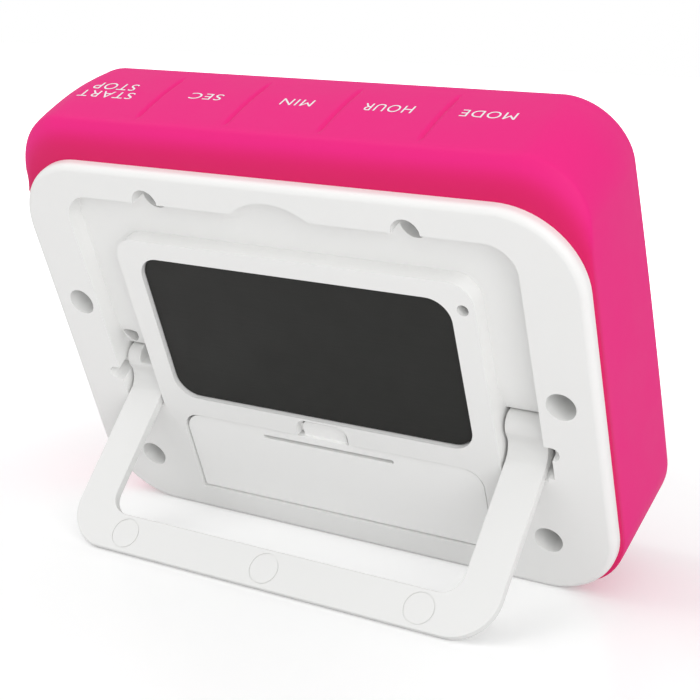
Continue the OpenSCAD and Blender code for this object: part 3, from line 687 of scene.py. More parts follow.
@dataclass
class RoundedOutline:
    """Rounded rectangle in the plane of the case's face."""

    width: float
    height: float
    corner: float
    middle: float = 0.0
    upper_corner: float = 0.0

    def __post_init__(self) -> None:
        """Rounds the upper corners as the lower ones unless they have a radius of their own."""
        self.upper_corner = self.upper_corner or self.corner

    def at(self, side: np.ndarray, share: np.ndarray) -> tuple[np.ndarray, np.ndarray]:
        """Finds points on the outline.

        Args:
            side: Number of the side of each point.
            share: How far along its side each point lies, from 0 to 1.

        Returns:
            The points and the outward directions, as rows of x and z.
        """
        a, b, r = self.width / 2 - self.corner, self.height / 2 - self.corner, self.corner
        p, q, s = (self.width / 2 - self.upper_corner, self.height / 2 - self.upper_corner,
                   self.upper_corner)
        turn = np.radians(np.choose(side, [90, 90 - 90 * share, 0, -90 * share, -90,
                                           -90 - 90 * share, 180, 180 - 90 * share]))
        out = np.stack([np.cos(turn), np.sin(turn)], 1)
        run = 2 * share - 1
        down = q - share * (q + b)
        x = np.choose(side, [p * run, p, a, a, -a * run, -a, -a, -p])
        z = np.choose(side, [q, q, down, -b, -b, -b, share * (q + b) - b, q])
        radius = np.choose(side, [s, s, r, r, r, r, r, s])
        return np.stack([x, z], 1) + radius[:, None] * out + [0, self.middle], out

    def outside(self, points: np.ndarray) -> np.ndarray:
        """Returns how far points lie outside the outline, negative inside.

        Args:
            points: Rows of x and z.

        Returns:
            One distance for each point, in millimetres.
        """
        corner = np.where(points[:, 1] > self.middle, self.upper_corner, self.corner)[:, None]
        away = np.abs(points - [0, self.middle]) - [self.width / 2, self.height / 2] + corner
        return (np.linalg.norm(np.maximum(away, 0), axis=1)
                + np.minimum(away.max(1), 0) - corner[:, 0])


class Shell:
    """Faces of a closed body, each with its corners' directions, or None where it is flat."""

    def __init__(self) -> None:
        """Starts without faces."""
        self.faces: list[tuple[int, ...]] = []
        self.lit: list[list | None] = []

    def add(self, corners: list[int], lit: list | None = None, turned: bool = False) -> None:
        """Adds a face by its corners' numbers, which run the other way round if turned."""
        self.faces.append(tuple(corners[::-1] if turned else corners))
        self.lit.append(lit)


@dataclass
class SiliconeSleeve:
    """The soft sleeve, whose top carries the five keys as one unbroken skin."""

    corner: float = 11.6
    band_corner: float = 13.3
    inner_corner: float = 11.7
    upper_corner: float = 10.5
    lean: float = 1.0
    rise: float = 0.55
    narrowing: float = 0.034
    widest: float = -18.0
    lap: float = 0.3
    wall: float = 1.6
    front_wall: float = 2.0
    edge: float = 3.0
    side_edge: float = 0.5
    ridge_back: float = 2.7
    ridge_slope: float = 0.45
    ridge_soft: float = 0.14
    crown: float = 72.0
    key_gap: float = 0.3
    pad_room: float = 1.1
    pad_least: float = 0.6
    post: float = 2.4
    post_sides: int = 32
    post_edge: float = 0.2
    post_root: float = 0.05
    groove_depth: float = 0.34
    groove_half: float = 0.36
    groove_fade: float = 2.2
    slack: float = 0.1
    front_corner: float = 6.1
    rear_corner: float = 9.0
    lip_step: float = 2.1
    mouth_round: float = 0.3
    mouth_rims: tuple[float, float] = (0.9, 0.7)
    taper: float = 0.02
    slope_step: float = 0.13
    halvings: int = 40
    top_steps: int = 45
    upper_corner_steps: int = 19
    side_steps: int = 17
    bottom_steps: int = 13
    keys: tuple[str, ...] = ("mode", "hour", "min", "sec", "start_stop")

    def __post_init__(self) -> None:
        """Reads the sleeve's, cover's and keys' sizes from the frame."""
        low, high = CASE.span("sleeve")
        key_low, key_high = CASE.span("key_min")
        cover_low, cover_high = CASE.span("rear_cover")
        top = key_high[2] + self.rise
        self.depth = -low[1]
        self.outline = RoundedOutline(high[0] - low[0], top - low[2], self.corner,
                                      (top + low[2]) / 2, self.upper_corner)
        band = cover_high[2] - cover_low[2] + 2 * self.lap
        self.band = RoundedOutline(high[0] - low[0], band, self.band_corner)
        self.within = RoundedOutline(high[0] - low[0] - 2 * self.wall,
                                     key_high[2] - low[2] - 2 * self.wall,
                                     self.inner_corner, (key_high[2] + low[2]) / 2)
        self.pitch = key_high[0] - key_low[0] + self.key_gap
        self.key_front = key_low[1] - self.key_gap
        self.key_rear = key_high[1] + self.key_gap
        self.pad_floor = key_high[2] - self.pad_room
        self.post_floor = key_low[2]
        self.edges = [(i - 2.5) * self.pitch for i in range(6)]
        self._stations()
        self._drop_to_band()

    def _stations(self) -> None:
        """Spreads stations round the outline, close together over the grooves."""
        half = self.outline.width / 2 - self.upper_corner
        spread = self.groove_half * np.array([-4.2, -3, -2.2, -1.7, -1.3, -1, -0.7, -0.45, -0.2, 0,
                                              0.2, 0.45, 0.7, 1, 1.3, 1.7, 2.2, 3, 4.2])
        grooves = self.edges[1:-1]
        plain = [x for x in np.linspace(-half, half, self.top_steps)[:-1]
                 if min(abs(x - g) for g in grooves) > spread[-1] + 0.3]
        along = np.unique(np.round(plain + [g + s for g in grooves for s in spread], 6))
        end = math.degrees(math.asin((self.edges[-1] - half) / self.upper_corner)) / 90
        upper, side, bottom = (
            np.linspace(0, 1, steps)[:-1]
            for steps in (self.upper_corner_steps, self.side_steps, self.bottom_steps)
        )
        rising, falling = (np.unique(np.append(upper, share)) for share in (end, 1 - end))
        shares = [(along + half) / (2 * half), rising, side, side, bottom, side, side, falling]
        self.side = np.concatenate([[i] * len(s) for i, s in enumerate(shares)]).astype(int)
        self.share = np.concatenate(shares)
        self.foot, self.out = self.outline.at(self.side, self.share)
        self.top_weight = np.maximum(self.out[:, 1], 0) ** 1.3
        high = (self.foot[:, 1] - self.widest) / (self.foot[:, 1].max() - self.widest)
        self.leaned = self.lean * np.abs(self.out[:, 0]) ** 1.2 * np.clip(high, 0, 1) ** 2

    def _drop_to_band(self) -> None:
        """Finds how far inside the outline the band beside the cover lies at each station."""
        near, far = np.zeros(len(self.side)), np.full(len(self.side), self.upper_corner)
        for _ in range(self.halvings):
            middle = (near + far) / 2
            hidden = self.band.outside(self.foot - self.out * middle[:, None]) > 1e-7
            near, far = np.where(hidden, middle, near), np.where(hidden, far, middle)
        self.band_drop = near

    def inset(self, y: float) -> np.ndarray:
        """Returns how far inside the outline the skin lies at a depth, at every station.

        Args:
            y: The depth.

        Returns:
            One distance for each station.
        """
        crowned = self.crown - math.sqrt(self.crown**2 - (y + self.depth / 2) ** 2)
        if y > -self.depth / 2:
            return crowned * self.top_weight + self._rear_slope(y) + self._groove(y)
        away = -y - self.depth / 2
        start = self.depth / 2 - self.edge
        reach = self.crown - self.edge
        if away > start * self.crown / reach:
            centre = -self.crown + math.sqrt(reach**2 - start**2)
            crowned = -(centre + math.sqrt(max(self.edge**2 - (away - start) ** 2, 0)))
        past = max(away - start, 0)
        plain = self.edge - math.sqrt(max(self.edge**2 - past**2, 0))
        leaned = self.leaned * min(away / start, 1) ** 2
        return plain + (crowned - plain) * self.top_weight + leaned + self._groove(y)

    def _rear_slope(self, y: float) -> np.ndarray:
        """Returns how far the rear slope drops from the ridge to the cover at a depth.

        The slope is highest in the middle of the top and runs out beside the cover, where only
        a small rounding is left.

        Args:
            y: The depth.

        Returns:
            One distance for each station.
        """
        most = float(self.band_drop.max())
        depth = np.maximum(self.ridge_back * self.band_drop / most, 1e-3)
        share = (y + depth) / depth
        soft = self.ridge_soft * self.ridge_back / depth
        share = np.clip((share + np.sqrt(share**2 + soft**2)) / 2, 0, 1)
        along = 1 - np.sqrt(1 - share)
        seam = self.crown - math.sqrt(self.crown**2 - (self.depth / 2) ** 2)
        fall = np.maximum(self.band_drop - seam * self.top_weight, 0)
        drop = 2 * self.ridge_slope * fall * along * (1 - along) + fall * along**2
        past = max(y + self.side_edge, 0)
        return drop + self.side_edge - math.sqrt(max(self.side_edge**2 - past**2, 0))

    def _groove(self, y: float) -> np.ndarray:
        """Returns the depth of the grooves between the keys at a depth of the case.

        Args:
            y: The depth.

        Returns:
            One distance for each station.
        """
        ends = min(y - self.key_front, self.key_rear - y) / self.groove_fade
        fade = min(max(ends + 0.2, 0), 1)
        fade = fade * fade * (3 - 2 * fade)
        flat = self.side == Side.TOP.value
        depth = np.zeros(len(self.side))
        for x in self.edges[1:-1]:
            depth += np.exp(-(((self.foot[:, 0] - x) / self.groove_half) ** 2)) * flat
        return self.groove_depth * fade * depth

    def narrow(self, z: np.ndarray | float) -> np.ndarray | float:
        """Returns the share by which the case is shallower at a height, towards the top."""
        top = self.outline.middle + self.outline.height / 2
        return self.narrowing * (z - self.widest) / (top - self.widest)

    def _row(self, y: float, inset: np.ndarray) -> np.ndarray:
        """Returns one ring of points at a depth."""
        flat = self.foot - self.out * inset[:, None]
        return np.stack([flat[:, 0], np.full(len(flat), y), flat[:, 1]], 1)

    def _ring(self, outline: RoundedOutline, y: float) -> np.ndarray:
        """Returns one ring of points along another outline, matched to the stations."""
        flat, _ = outline.at(self.side, self.share)
        return np.stack([flat[:, 0], np.full(len(flat), y), flat[:, 1]], 1)

    def _depths(self) -> list[float]:
        """Returns the depths of the rings between the front's rounding and the rear face.

        Returns:
            The depths, from front to rear.
        """
        e = self.edge
        front = [-self.depth + e * (1 - math.sin(math.radians(a))) for a in range(90, -1, -9)]
        keys = [self.key_front + s for s in (0, 0.4, 0.8, 1.2, 1.7, 2.3, 3.0, 4.0)]
        keys += list(np.linspace(self.key_front + 5, self.key_rear - 4.5, 8))
        keys += [self.key_rear - s for s in (3.6, 2.8, 2.1, 1.5, 1.0, 0.6, 0.3, 0)]
        step = self.slope_step
        slope = list(np.arange(self.key_rear + step, -self.side_edge - 0.05, step))
        rear = [-self.side_edge * (1 - math.sin(math.radians(a))) for a in range(0, 91, 15)]
        return front + [self.key_front - 0.5] + keys + slope + rear

    def skin(self) -> None:
        """Builds the rings of the outer skin with their normals, and the hidden rings within."""
        opening = self._front_opening()
        mouth = self._ring(opening, -self.depth)
        soft = self.mouth_round
        softer = RoundedOutline(opening.width + 2 * soft, opening.height + 2 * soft,
                                opening.corner + soft, opening.middle)
        depths = self._depths()
        face = self._row(-self.depth, self.inset(-self.depth))
        start = self._ring(softer, -self.depth)
        outer = [start + (face - start) * share for share in (0, 0.25, 0.5, 0.75, 0.92)]
        self.first_ring = len(outer)
        outer += [self._row(y, self.inset(y)) for y in depths]
        rear = self._rear_opening()
        last, rim = outer[-1], self._ring(rear, 0.0)
        outer += [last * (1 - share) + rim * share for share in (0.12, 0.35, 0.65, 1.0)]
        self.outer = np.array(outer)
        self.outer[:, :, 1] *= 1 - self.narrow(self.outer[:, :, 2])
        along = np.roll(self.outer, -1, 1) - np.roll(self.outer, 1, 1)
        across = np.gradient(self.outer, axis=0)
        normal = np.cross(along, across)
        normal /= np.maximum(np.linalg.norm(normal, axis=2, keepdims=True), 1e-9)
        if normal[len(outer) // 2, 0, 2] < 0:
            normal = -normal
        self.normals = normal
        near = 1e-6
        beside = [i for i, y in enumerate(depths)
                  if self.key_front - near <= y <= self.key_rear + near]
        self.key_rows = (self.first_ring + beside[0], self.first_ring + beside[-1])
        inner = [self._ring(rear, -self.wall), self._ring(self.within, -self.wall)]
        inner += [self._ring(self.within, depths[i]) for i in reversed(beside)]
        inner += [self._ring(self.within, -self.depth + self.front_wall),
                  self._ring(opening, -self.depth + self.front_wall),
                  self._ring(opening, -self.depth + self.mouth_rims[0]),
                  mouth + [0, self.mouth_rims[1], 0]]
        self.inner = np.array(inner)

    def _front_opening(self) -> RoundedOutline:
        """Finds the opening round the display's frame.

        Returns:
            Its outline.
        """
        housing = CASE.in_case("front_housing")
        rim = housing[housing[:, 1] < housing[:, 1].min() + 0.01]
        low, high = rim.min(0) - self.slack, rim.max(0) + self.slack
        return RoundedOutline(high[0] - low[0], high[2] - low[2], self.front_corner,
                              (high[2] + low[2]) / 2)

    def _rear_opening(self) -> RoundedOutline:
        """Finds the opening round the cover's raised rim.

        Returns:
            Its outline.
        """
        low, high = CASE.span("front_housing")
        bottom, top = low[2] + self.wall, CASE.span("rear_cover")[1][2] - self.lip_step
        return RoundedOutline(high[0] - low[0] - 2 * self.wall, top - bottom, self.rear_corner,
                              (top + bottom) / 2)

    @staticmethod
    def _shaded(name: str, points: list, shell: Shell, finish: Surface) -> bpy.types.Object:
        """Makes a piece whose skin keeps the unbroken surface's shading.

        Args:
            name: Name of the piece.
            points: Corners in the case frame.
            shell: Its faces.
            finish: Its surface.

        Returns:
            The piece.
        """
        made = piece(name, np.array(points), [face[::-1] for face in shell.faces], finish)
        mesh = made.data
        sharpen(mesh)
        loops = []
        for polygon, given in zip(mesh.polygons, shell.lit):
            if given is None:
                loops += [tuple(polygon.normal)] * polygon.loop_total
            else:
                loops += [tuple(v) for v in CASE.direction(np.array(given[::-1]))]
        mesh.normals_split_custom_set(loops)
        return made

    def build(self) -> None:
        """Builds the sleeve and the five keys, and fits them to their bodies."""
        self.skin()
        self._sleeve()
        for key, name in enumerate(self.keys):
            self._key(key, name)

    def _station_at(self, x: float) -> int:
        """Returns the station on the upper side that is nearest to a place across the case."""
        upper = np.where(self.out[:, 1] > 0.5, np.abs(self.foot[:, 0] - x), 1e9)
        return int(np.argmin(upper))

    def _sleeve(self) -> None:
        """Joins the rings into one closed body with an opening where the keys stand."""
        rings = np.concatenate([self.outer, self.inner])
        count, around = len(rings), len(self.side)
        shown = len(self.outer)
        first, last = self.key_rows
        within = shown + 2
        lower = within + (last - first)
        start, end = self._station_at(self.edges[0]), self._station_at(self.edges[-1])
        span = [(start + k) % around for k in range((end - start) % around + 1)]
        open_cells = set(span[:-1])
        shell = Shell()
        for row in range(count):
            after = (row + 1) % count
            for i in range(around):
                n = (i + 1) % around
                if i in open_cells and (first <= row < last or within <= row < lower):
                    continue
                cells = ((row, i), (after, i), (after, n), (row, n))
                lit = [self.normals[cell] for cell in cells] if row < shown - 1 else None
                shell.add([r * around + c for r, c in cells], lit)
        for outer_row, inner_row, turned in ((first, lower, False), (last, within, True)):
            for i, n in zip(span[:-1], span[1:]):
                shell.add([outer_row * around + i, inner_row * around + i,
                           inner_row * around + n, outer_row * around + n], turned=turned)
        for i, turned in ((span[0], True), (span[-1], False)):
            for row in range(first, last):
                inner_row = within + (last - row)
                shell.add([row * around + i, (row + 1) * around + i,
                           (inner_row - 1) * around + i, inner_row * around + i], turned=turned)
        made = self._shaded("sleeve_skin", rings.reshape(-1, 3), shell, PINK)
        outward(made)
        install(made, "case", "pink_silicone", "sleeve")

    def _key(self, number: int, name: str) -> None:
        """Builds one key: its share of the skin, its walls, its underside and its post.

        Args:
            number: Place of the key, from the left seen from the front.
            name: Name of the key.
        """
        first, last = self.key_rows
        around = len(self.side)
        start, end = (self._station_at(self.edges[number + k]) for k in (0, 1))
        span = [(start + k) % around for k in range((end - start) % around + 1)]
        top = self.outer[first:last + 1][:, span]
        lit = self.normals[first:last + 1][:, span]
        rows, wide = top.shape[:2]
        middle = top.reshape(-1, 3).mean(0)
        base = top.copy()
        base[:, :, 2] = np.minimum(self.pad_floor, base[:, :, 2] - self.pad_least)
        base[:, :, :2] += np.sign(middle[:2] - base[:, :, :2]) * self.taper
        points = [tuple(p) for p in top.reshape(-1, 3)] + [tuple(p) for p in base.reshape(-1, 3)]
        shell = Shell()
        below = rows * wide

        def corners(*cells: tuple[int, int, bool]) -> list[int]:
            """Returns the numbers of corners: their row, their column, and if they are under."""
            return [row * wide + column + (below if under else 0) for row, column, under in cells]

        for row in range(rows - 1):
            for c in range(wide - 1):
                cells = ((row, c), (row + 1, c), (row + 1, c + 1), (row, c + 1))
                shown = [lit[cell] for cell in cells]
                shell.add(corners(*((*cell, False) for cell in cells)), shown)
                shell.add(corners((row, c, True), (row, c + 1, True), (row + 1, c + 1, True),
                                  (row + 1, c, True)))
        for c in range(wide - 1):
            for row, turned in ((0, False), (rows - 1, True)):
                shell.add(corners((row, c, False), (row, c + 1, False), (row, c + 1, True),
                                  (row, c, True)), turned=turned)
        for row in range(rows - 1):
            for c, turned in ((0, True), (wide - 1, False)):
                shell.add(corners((row, c, False), (row + 1, c, False), (row + 1, c, True),
                                  (row, c, True)), turned=turned)
        low, high = CASE.span("plunger_" + name)
        centre = (low + high) / 2
        rim = self.post_sides
        ring = np.arange(rim) * 2 * math.pi / rim
        cham = self.post_edge
        for z, radius in ((self.pad_floor + self.post_root, self.post),
                          (self.post_floor + cham, self.post), (self.post_floor, self.post - cham)):
            points += [(centre[0] + radius * math.cos(a), centre[1] + radius * math.sin(a), z)
                       for a in ring]
        base_at = 2 * below
        for level in range(2):
            upper, lower = base_at + level * rim, base_at + (level + 1) * rim
            for k in range(rim):
                n = (k + 1) % rim
                shell.add([upper + k, lower + k, lower + n, upper + n])
        shell.add([base_at + k for k in range(rim)])
        shell.add([base_at + 2 * rim + k for k in range(rim)], turned=True)
        made = self._shaded("key_skin_" + name, points, shell, PINK)
        outward(made)
        install(made, "key_" + name, "pink_keys", "key_" + name)

    def height(self, x: float, y: float) -> tuple[float, float]:
        """Finds the skin's height above a place on the top.

        Args:
            x: Place across the case.
            y: Depth.

        Returns:
            The height, and how far the skin leans outward there, as a share of x.
        """
        half = self.outline.width / 2 - self.upper_corner
        column = self.inset_at_top(y)
        top = self.outline.middle + self.outline.height / 2
        past = max(abs(x) - half, 0.0)
        radius = self.upper_corner - column
        lean = min(past / radius, 0.98)
        return top - self.upper_corner + math.sqrt(radius**2 - past**2), lean

    def inset_at_top(self, y: float) -> float:
        """Returns the skin's inset at the middle of the top, between the grooves."""
        middle = int(np.argmin(np.where(self.out[:, 1] > 0.9, np.abs(self.foot[:, 0]), 1e9)))
        return float((self.inset(y) - self._groove(y))[middle])


# ---------- lettering ----------


@dataclass(frozen=True)
class Word:
    """A generic word printed on a key: where it starts and ends, and its letters' feet and tops."""

    text: str
    key: str
    left: float
    right: float
    foot: float
    top: float
    round_tops: bool = False


@dataclass
class KeyLettering:
    """The plain white words on the keys, laid on the skin."""

    sleeve: SiliconeSleeve
    lift: float = 0.03
    spacing: float = 1.12
    slices: int = 24
    smoothness: int = 4
    round_share: float = 0.985
    words: tuple[Word, ...] = (
        Word("START", "start_stop", 29.85, 40.95, -10.6, -8.6),
        Word("STOP", "start_stop", 31.1, 39.7, -13.45, -11.3, True),
        Word("SEC", "sec", 13.4, 19.5, -12.05, -10.2, True),
        Word("MIN", "min", -3.1, 2.45, -12.25, -10.3),
        Word("HOUR", "hour", -20.05, -11.75, -12.5, -10.4, True),
        Word("MODE", "mode", -36.3, -27.7, -12.55, -10.6, True),
    )

    def build(self) -> None:
        """Lays every word on its key."""
        for word in self.words:
            self._lay(word)

    def _lay(self, word: Word) -> None:
        """Makes one word a thin mesh that follows the skin and rides on its key.

        Args:
            word: The word.
        """
        curve = bpy.data.curves.new("word_" + word.text.lower(), "FONT")
        curve.body = word.text
        curve.space_character = self.spacing
        curve.resolution_u = self.smoothness
        carrier = show(curve.name, curve)
        bpy.context.view_layer.update()
        flat = bpy.data.meshes.new_from_object(
            carrier.evaluated_get(bpy.context.evaluated_depsgraph_get())
        )
        bpy.data.objects.remove(carrier)
        with editing(flat, keep=False) as work:
            bmesh.ops.remove_doubles(work, verts=work.verts, dist=1e-5)
            ends = [v.co.x for v in work.verts]
            for cut in np.linspace(min(ends), max(ends), self.slices + 2)[1:-1]:
                bmesh.ops.bisect_plane(work, geom=work.verts[:] + work.edges[:] + work.faces[:],
                                       plane_co=(cut, 0, 0), plane_no=(1, 0, 0))
            bmesh.ops.triangulate(work, faces=work.faces)
            shape = np.array([v.co for v in work.verts])
            faces = [tuple(v.index for v in f.verts) for f in work.faces]
            if work.faces and sum(f.normal.z for f in work.faces) < 0:
                faces = [f[::-1] for f in faces]
        low, high = shape.min(0), shape.max(0)
        caps = high[1] * (self.round_share if word.round_tops else 1)
        x = word.left + (shape[:, 0] - low[0]) / (high[0] - low[0]) * (word.right - word.left)
        y = word.foot + shape[:, 1] / caps * (word.top - word.foot)
        points = []
        for px, py in zip(x, y):
            z, lean = self.sleeve.height(px, py)
            points.append((px + math.copysign(self.lift * lean, px), py, z + self.lift))
        made = piece("word_" + word.text.lower(), np.array(points), faces, PRINT)
        install(made, "key_" + word.key, "pink_keys")


# ---------- repeated pieces ----------


class Pattern(Nodes):
    """A Geometry Nodes tree that repeats one shape over the points of a mesh."""

    def __init__(self, name: str, sizes: dict[str, float]) -> None:
        """Starts the tree with one named input for each size.

        Args:
            name: Name of the tree.
            sizes: Value of each named input, in millimetres.
        """
        super().__init__(bpy.data.node_groups.new(name, "GeometryNodeTree"))
        self.sizes = sizes
        face = self.tree.interface
        face.new_socket("Geometry", in_out="INPUT", socket_type="NodeSocketGeometry")
        self.sockets = {
            key: face.new_socket(key, in_out="INPUT", socket_type="NodeSocketFloat").identifier
            for key in sizes
        }
        self.seed = face.new_socket("Seed", in_out="INPUT", socket_type="NodeSocketInt").identifier
        face.new_socket("Geometry", in_out="OUTPUT", socket_type="NodeSocketGeometry")
        self.given = self.add("NodeGroupInput")

    def size(self, name: str, times: float = 1.0, plus: float = 0.0) -> bpy.types.NodeSocket:
        """Returns a named input, scaled and moved.

        Args:
            name: Name of the input.
            times: What it is multiplied by.
            plus: What is added then.

        Returns:
            The result.
        """
        if times == 1.0 and plus == 0.0:
            return self.given.outputs[name]
        return self.out("ShaderNodeMath", {0: self.given.outputs[name], 1: times, 2: plus},
                        operation="MULTIPLY_ADD")

    def vector(self, x: object = 0.0, y: object = 0.0, z: object = 0.0) -> bpy.types.NodeSocket:
        """Returns a vector made of values or sockets."""
        return self.out("ShaderNodeCombineXYZ", {0: x, 1: y, 2: z})

    def join(self, *parts: bpy.types.NodeSocket) -> bpy.types.NodeSocket:
        """Returns several shapes as one.

        Args:
            parts: The shapes.

        Returns:
            The joined shape.
        """
        node = self.add("GeometryNodeJoinGeometry")
        for part in parts:
            self.tree.links.new(part, node.inputs[0])
        return node.outputs[0]

    def move(
        self, shape: bpy.types.NodeSocket, by: object, turn: object = (0.0, 0.0, 0.0)
    ) -> bpy.types.NodeSocket:
        """Returns a shape turned and then moved."""
        sockets = {"Geometry": shape, "Translation": by, "Rotation": turn}
        return self.out("GeometryNodeTransform", sockets)

    def repeat(
        self,
        shape: bpy.types.NodeSocket,
        turn: bpy.types.NodeSocket,
        scale: object,
        finish: Finish,
    ) -> None:
        """Ends the tree: the shape on every point, made real and given its material.

        Args:
            shape: The shape.
            turn: Its turn at each point.
            scale: Its size at each point.
            finish: Its surface.
        """
        placed = self.out("GeometryNodeInstanceOnPoints", {
            "Points": self.given.outputs["Geometry"], "Instance": shape, "Rotation": turn,
            "Scale": scale,
        })
        real = self.out("GeometryNodeRealizeInstances", {0: placed})
        paint = {"Geometry": real, "Material": finish.material()}
        self.add("NodeGroupOutput", {0: self.out("GeometryNodeSetMaterial", paint)})

    def bake(
        self,
        name: str,
        spots: np.ndarray,
        place: Callable[[np.ndarray], np.ndarray],
        extra: dict[str, np.ndarray] | None = None,
    ) -> bpy.types.Object:
        """Runs the tree over a set of points and keeps the result as a plain mesh.

        Args:
            name: Name of the piece.
            spots: The points, as rows in millimetres.
            place: Moves the tree's millimetres into the case frame.
            extra: Vectors stored on the points.

        Returns:
            The piece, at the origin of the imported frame.
        """
        mesh = bpy.data.meshes.new(name)
        mesh.from_pydata([tuple(p) for p in spots], [], [])
        for key, values in (extra or {}).items():
            layer = mesh.attributes.new(key, "FLOAT_VECTOR", "POINT")
            layer.data.foreach_set("vector", np.ravel(values).astype(float))
        made = show(name, mesh)
        pattern = made.modifiers.new("pattern", "NODES")
        pattern.node_group = self.tree
        for key, value in self.sizes.items():
            pattern[self.sockets[key]] = float(value)
        pattern[self.seed] = SEED
        flatten(made)
        flat = np.zeros(len(made.data.vertices) * 3)
        made.data.vertices.foreach_get("co", flat)
        made.data.vertices.foreach_set("co", CASE.place(place(flat.reshape(-1, 3))).ravel())
        sharpen(made.data)
        outward(made)
        return made


@dataclass
class CaseScrews:
    """Six pan-head screws with cross recesses, deep in the rear cover."""

    head_radius: float = 2.0
    head_height: float = 1.3
    shank_radius: float = 1.05
    cross_width: float = 0.55
    cross_length: float = 2.3
    cross_depth: float = 0.8
    head_sides: int = 40
    shank_sides: int = 24
    sunk: float = 0.05

    @staticmethod
    def _rod(
        pattern: Pattern, sides: int, radius: str, depth: str, plus: float = 0.0
    ) -> bpy.types.NodeSocket:
        """Returns a rod of two named sizes that hangs down from the origin.

        Args:
            pattern: The tree.
            sides: Number of its sides.
            radius: Name of its radius.
            depth: Name of its length.
            plus: How far it is lifted.

        Returns:
            The rod.
        """
        rod = pattern.out("GeometryNodeMeshCylinder", {
            "Vertices": sides, "Radius": pattern.size(radius), "Depth": pattern.size(depth),
        })
        return pattern.move(rod, pattern.vector(z=pattern.size(depth, -0.5, plus)))

    def build(self) -> None:
        """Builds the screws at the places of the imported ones."""
        points = CASE.in_case("case_screws")
        reach = 3 * self.head_radius
        spots: list[np.ndarray] = []
        for point in points[:, [0, 2]]:
            if all(np.linalg.norm(point - spot) > reach for spot in spots):
                near = np.linalg.norm(points[:, [0, 2]] - point, axis=1) < reach
                group = points[near][:, [0, 2]]
                spots.append((group.min(0) + group.max(0)) / 2)
        top, tip = points[:, 1].max(), points[:, 1].min()
        pattern = Pattern("screws", {
            "Head Radius": self.head_radius, "Head Height": self.head_height,
            "Shank Radius": self.shank_radius, "Length": top - tip,
            "Cross Width": self.cross_width, "Cross Length": self.cross_length,
            "Cross Depth": self.cross_depth,
        })
        head = self._rod(pattern, self.head_sides, "Head Radius", "Head Height")
        depth = pattern.size("Cross Depth", 2.0)
        long, wide = pattern.size("Cross Length"), pattern.size("Cross Width")
        cut = pattern.add(
            "GeometryNodeMeshBoolean", {"Mesh 1": head, "Self Intersection": True},
            operation="DIFFERENCE", solver="EXACT",
        )
        for size in ((long, wide), (wide, long)):
            arm = pattern.out("GeometryNodeMeshCube", {"Size": pattern.vector(*size, depth)})
            pattern.tree.links.new(arm, cut.inputs["Mesh 2"])
        shank = self._rod(pattern, self.shank_sides, "Shank Radius", "Length", -self.sunk)
        shank = pattern.move(shank, pattern.vector(z=pattern.size("Head Height", -0.5)))
        turn = pattern.out(
            "FunctionNodeRandomValue", {"Min": (0, 0, 0), "Max": (0, 0, math.pi / 2),
                                        "Seed": pattern.given.outputs["Seed"]},
            data_type="FLOAT_VECTOR",
        )
        pattern.repeat(pattern.join(cut.outputs[0], shank), turn, (1, 1, 1), STEEL)
        rows = np.array([(-x, z, 0.0) for x, z in spots])
        made = pattern.bake(
            "case_screw_set", rows,
            lambda p: np.stack([-p[:, 0], np.maximum(top + p[:, 2], tip), p[:, 1]], 1),
        )
        install(made, "case", "steel", "case_screws")


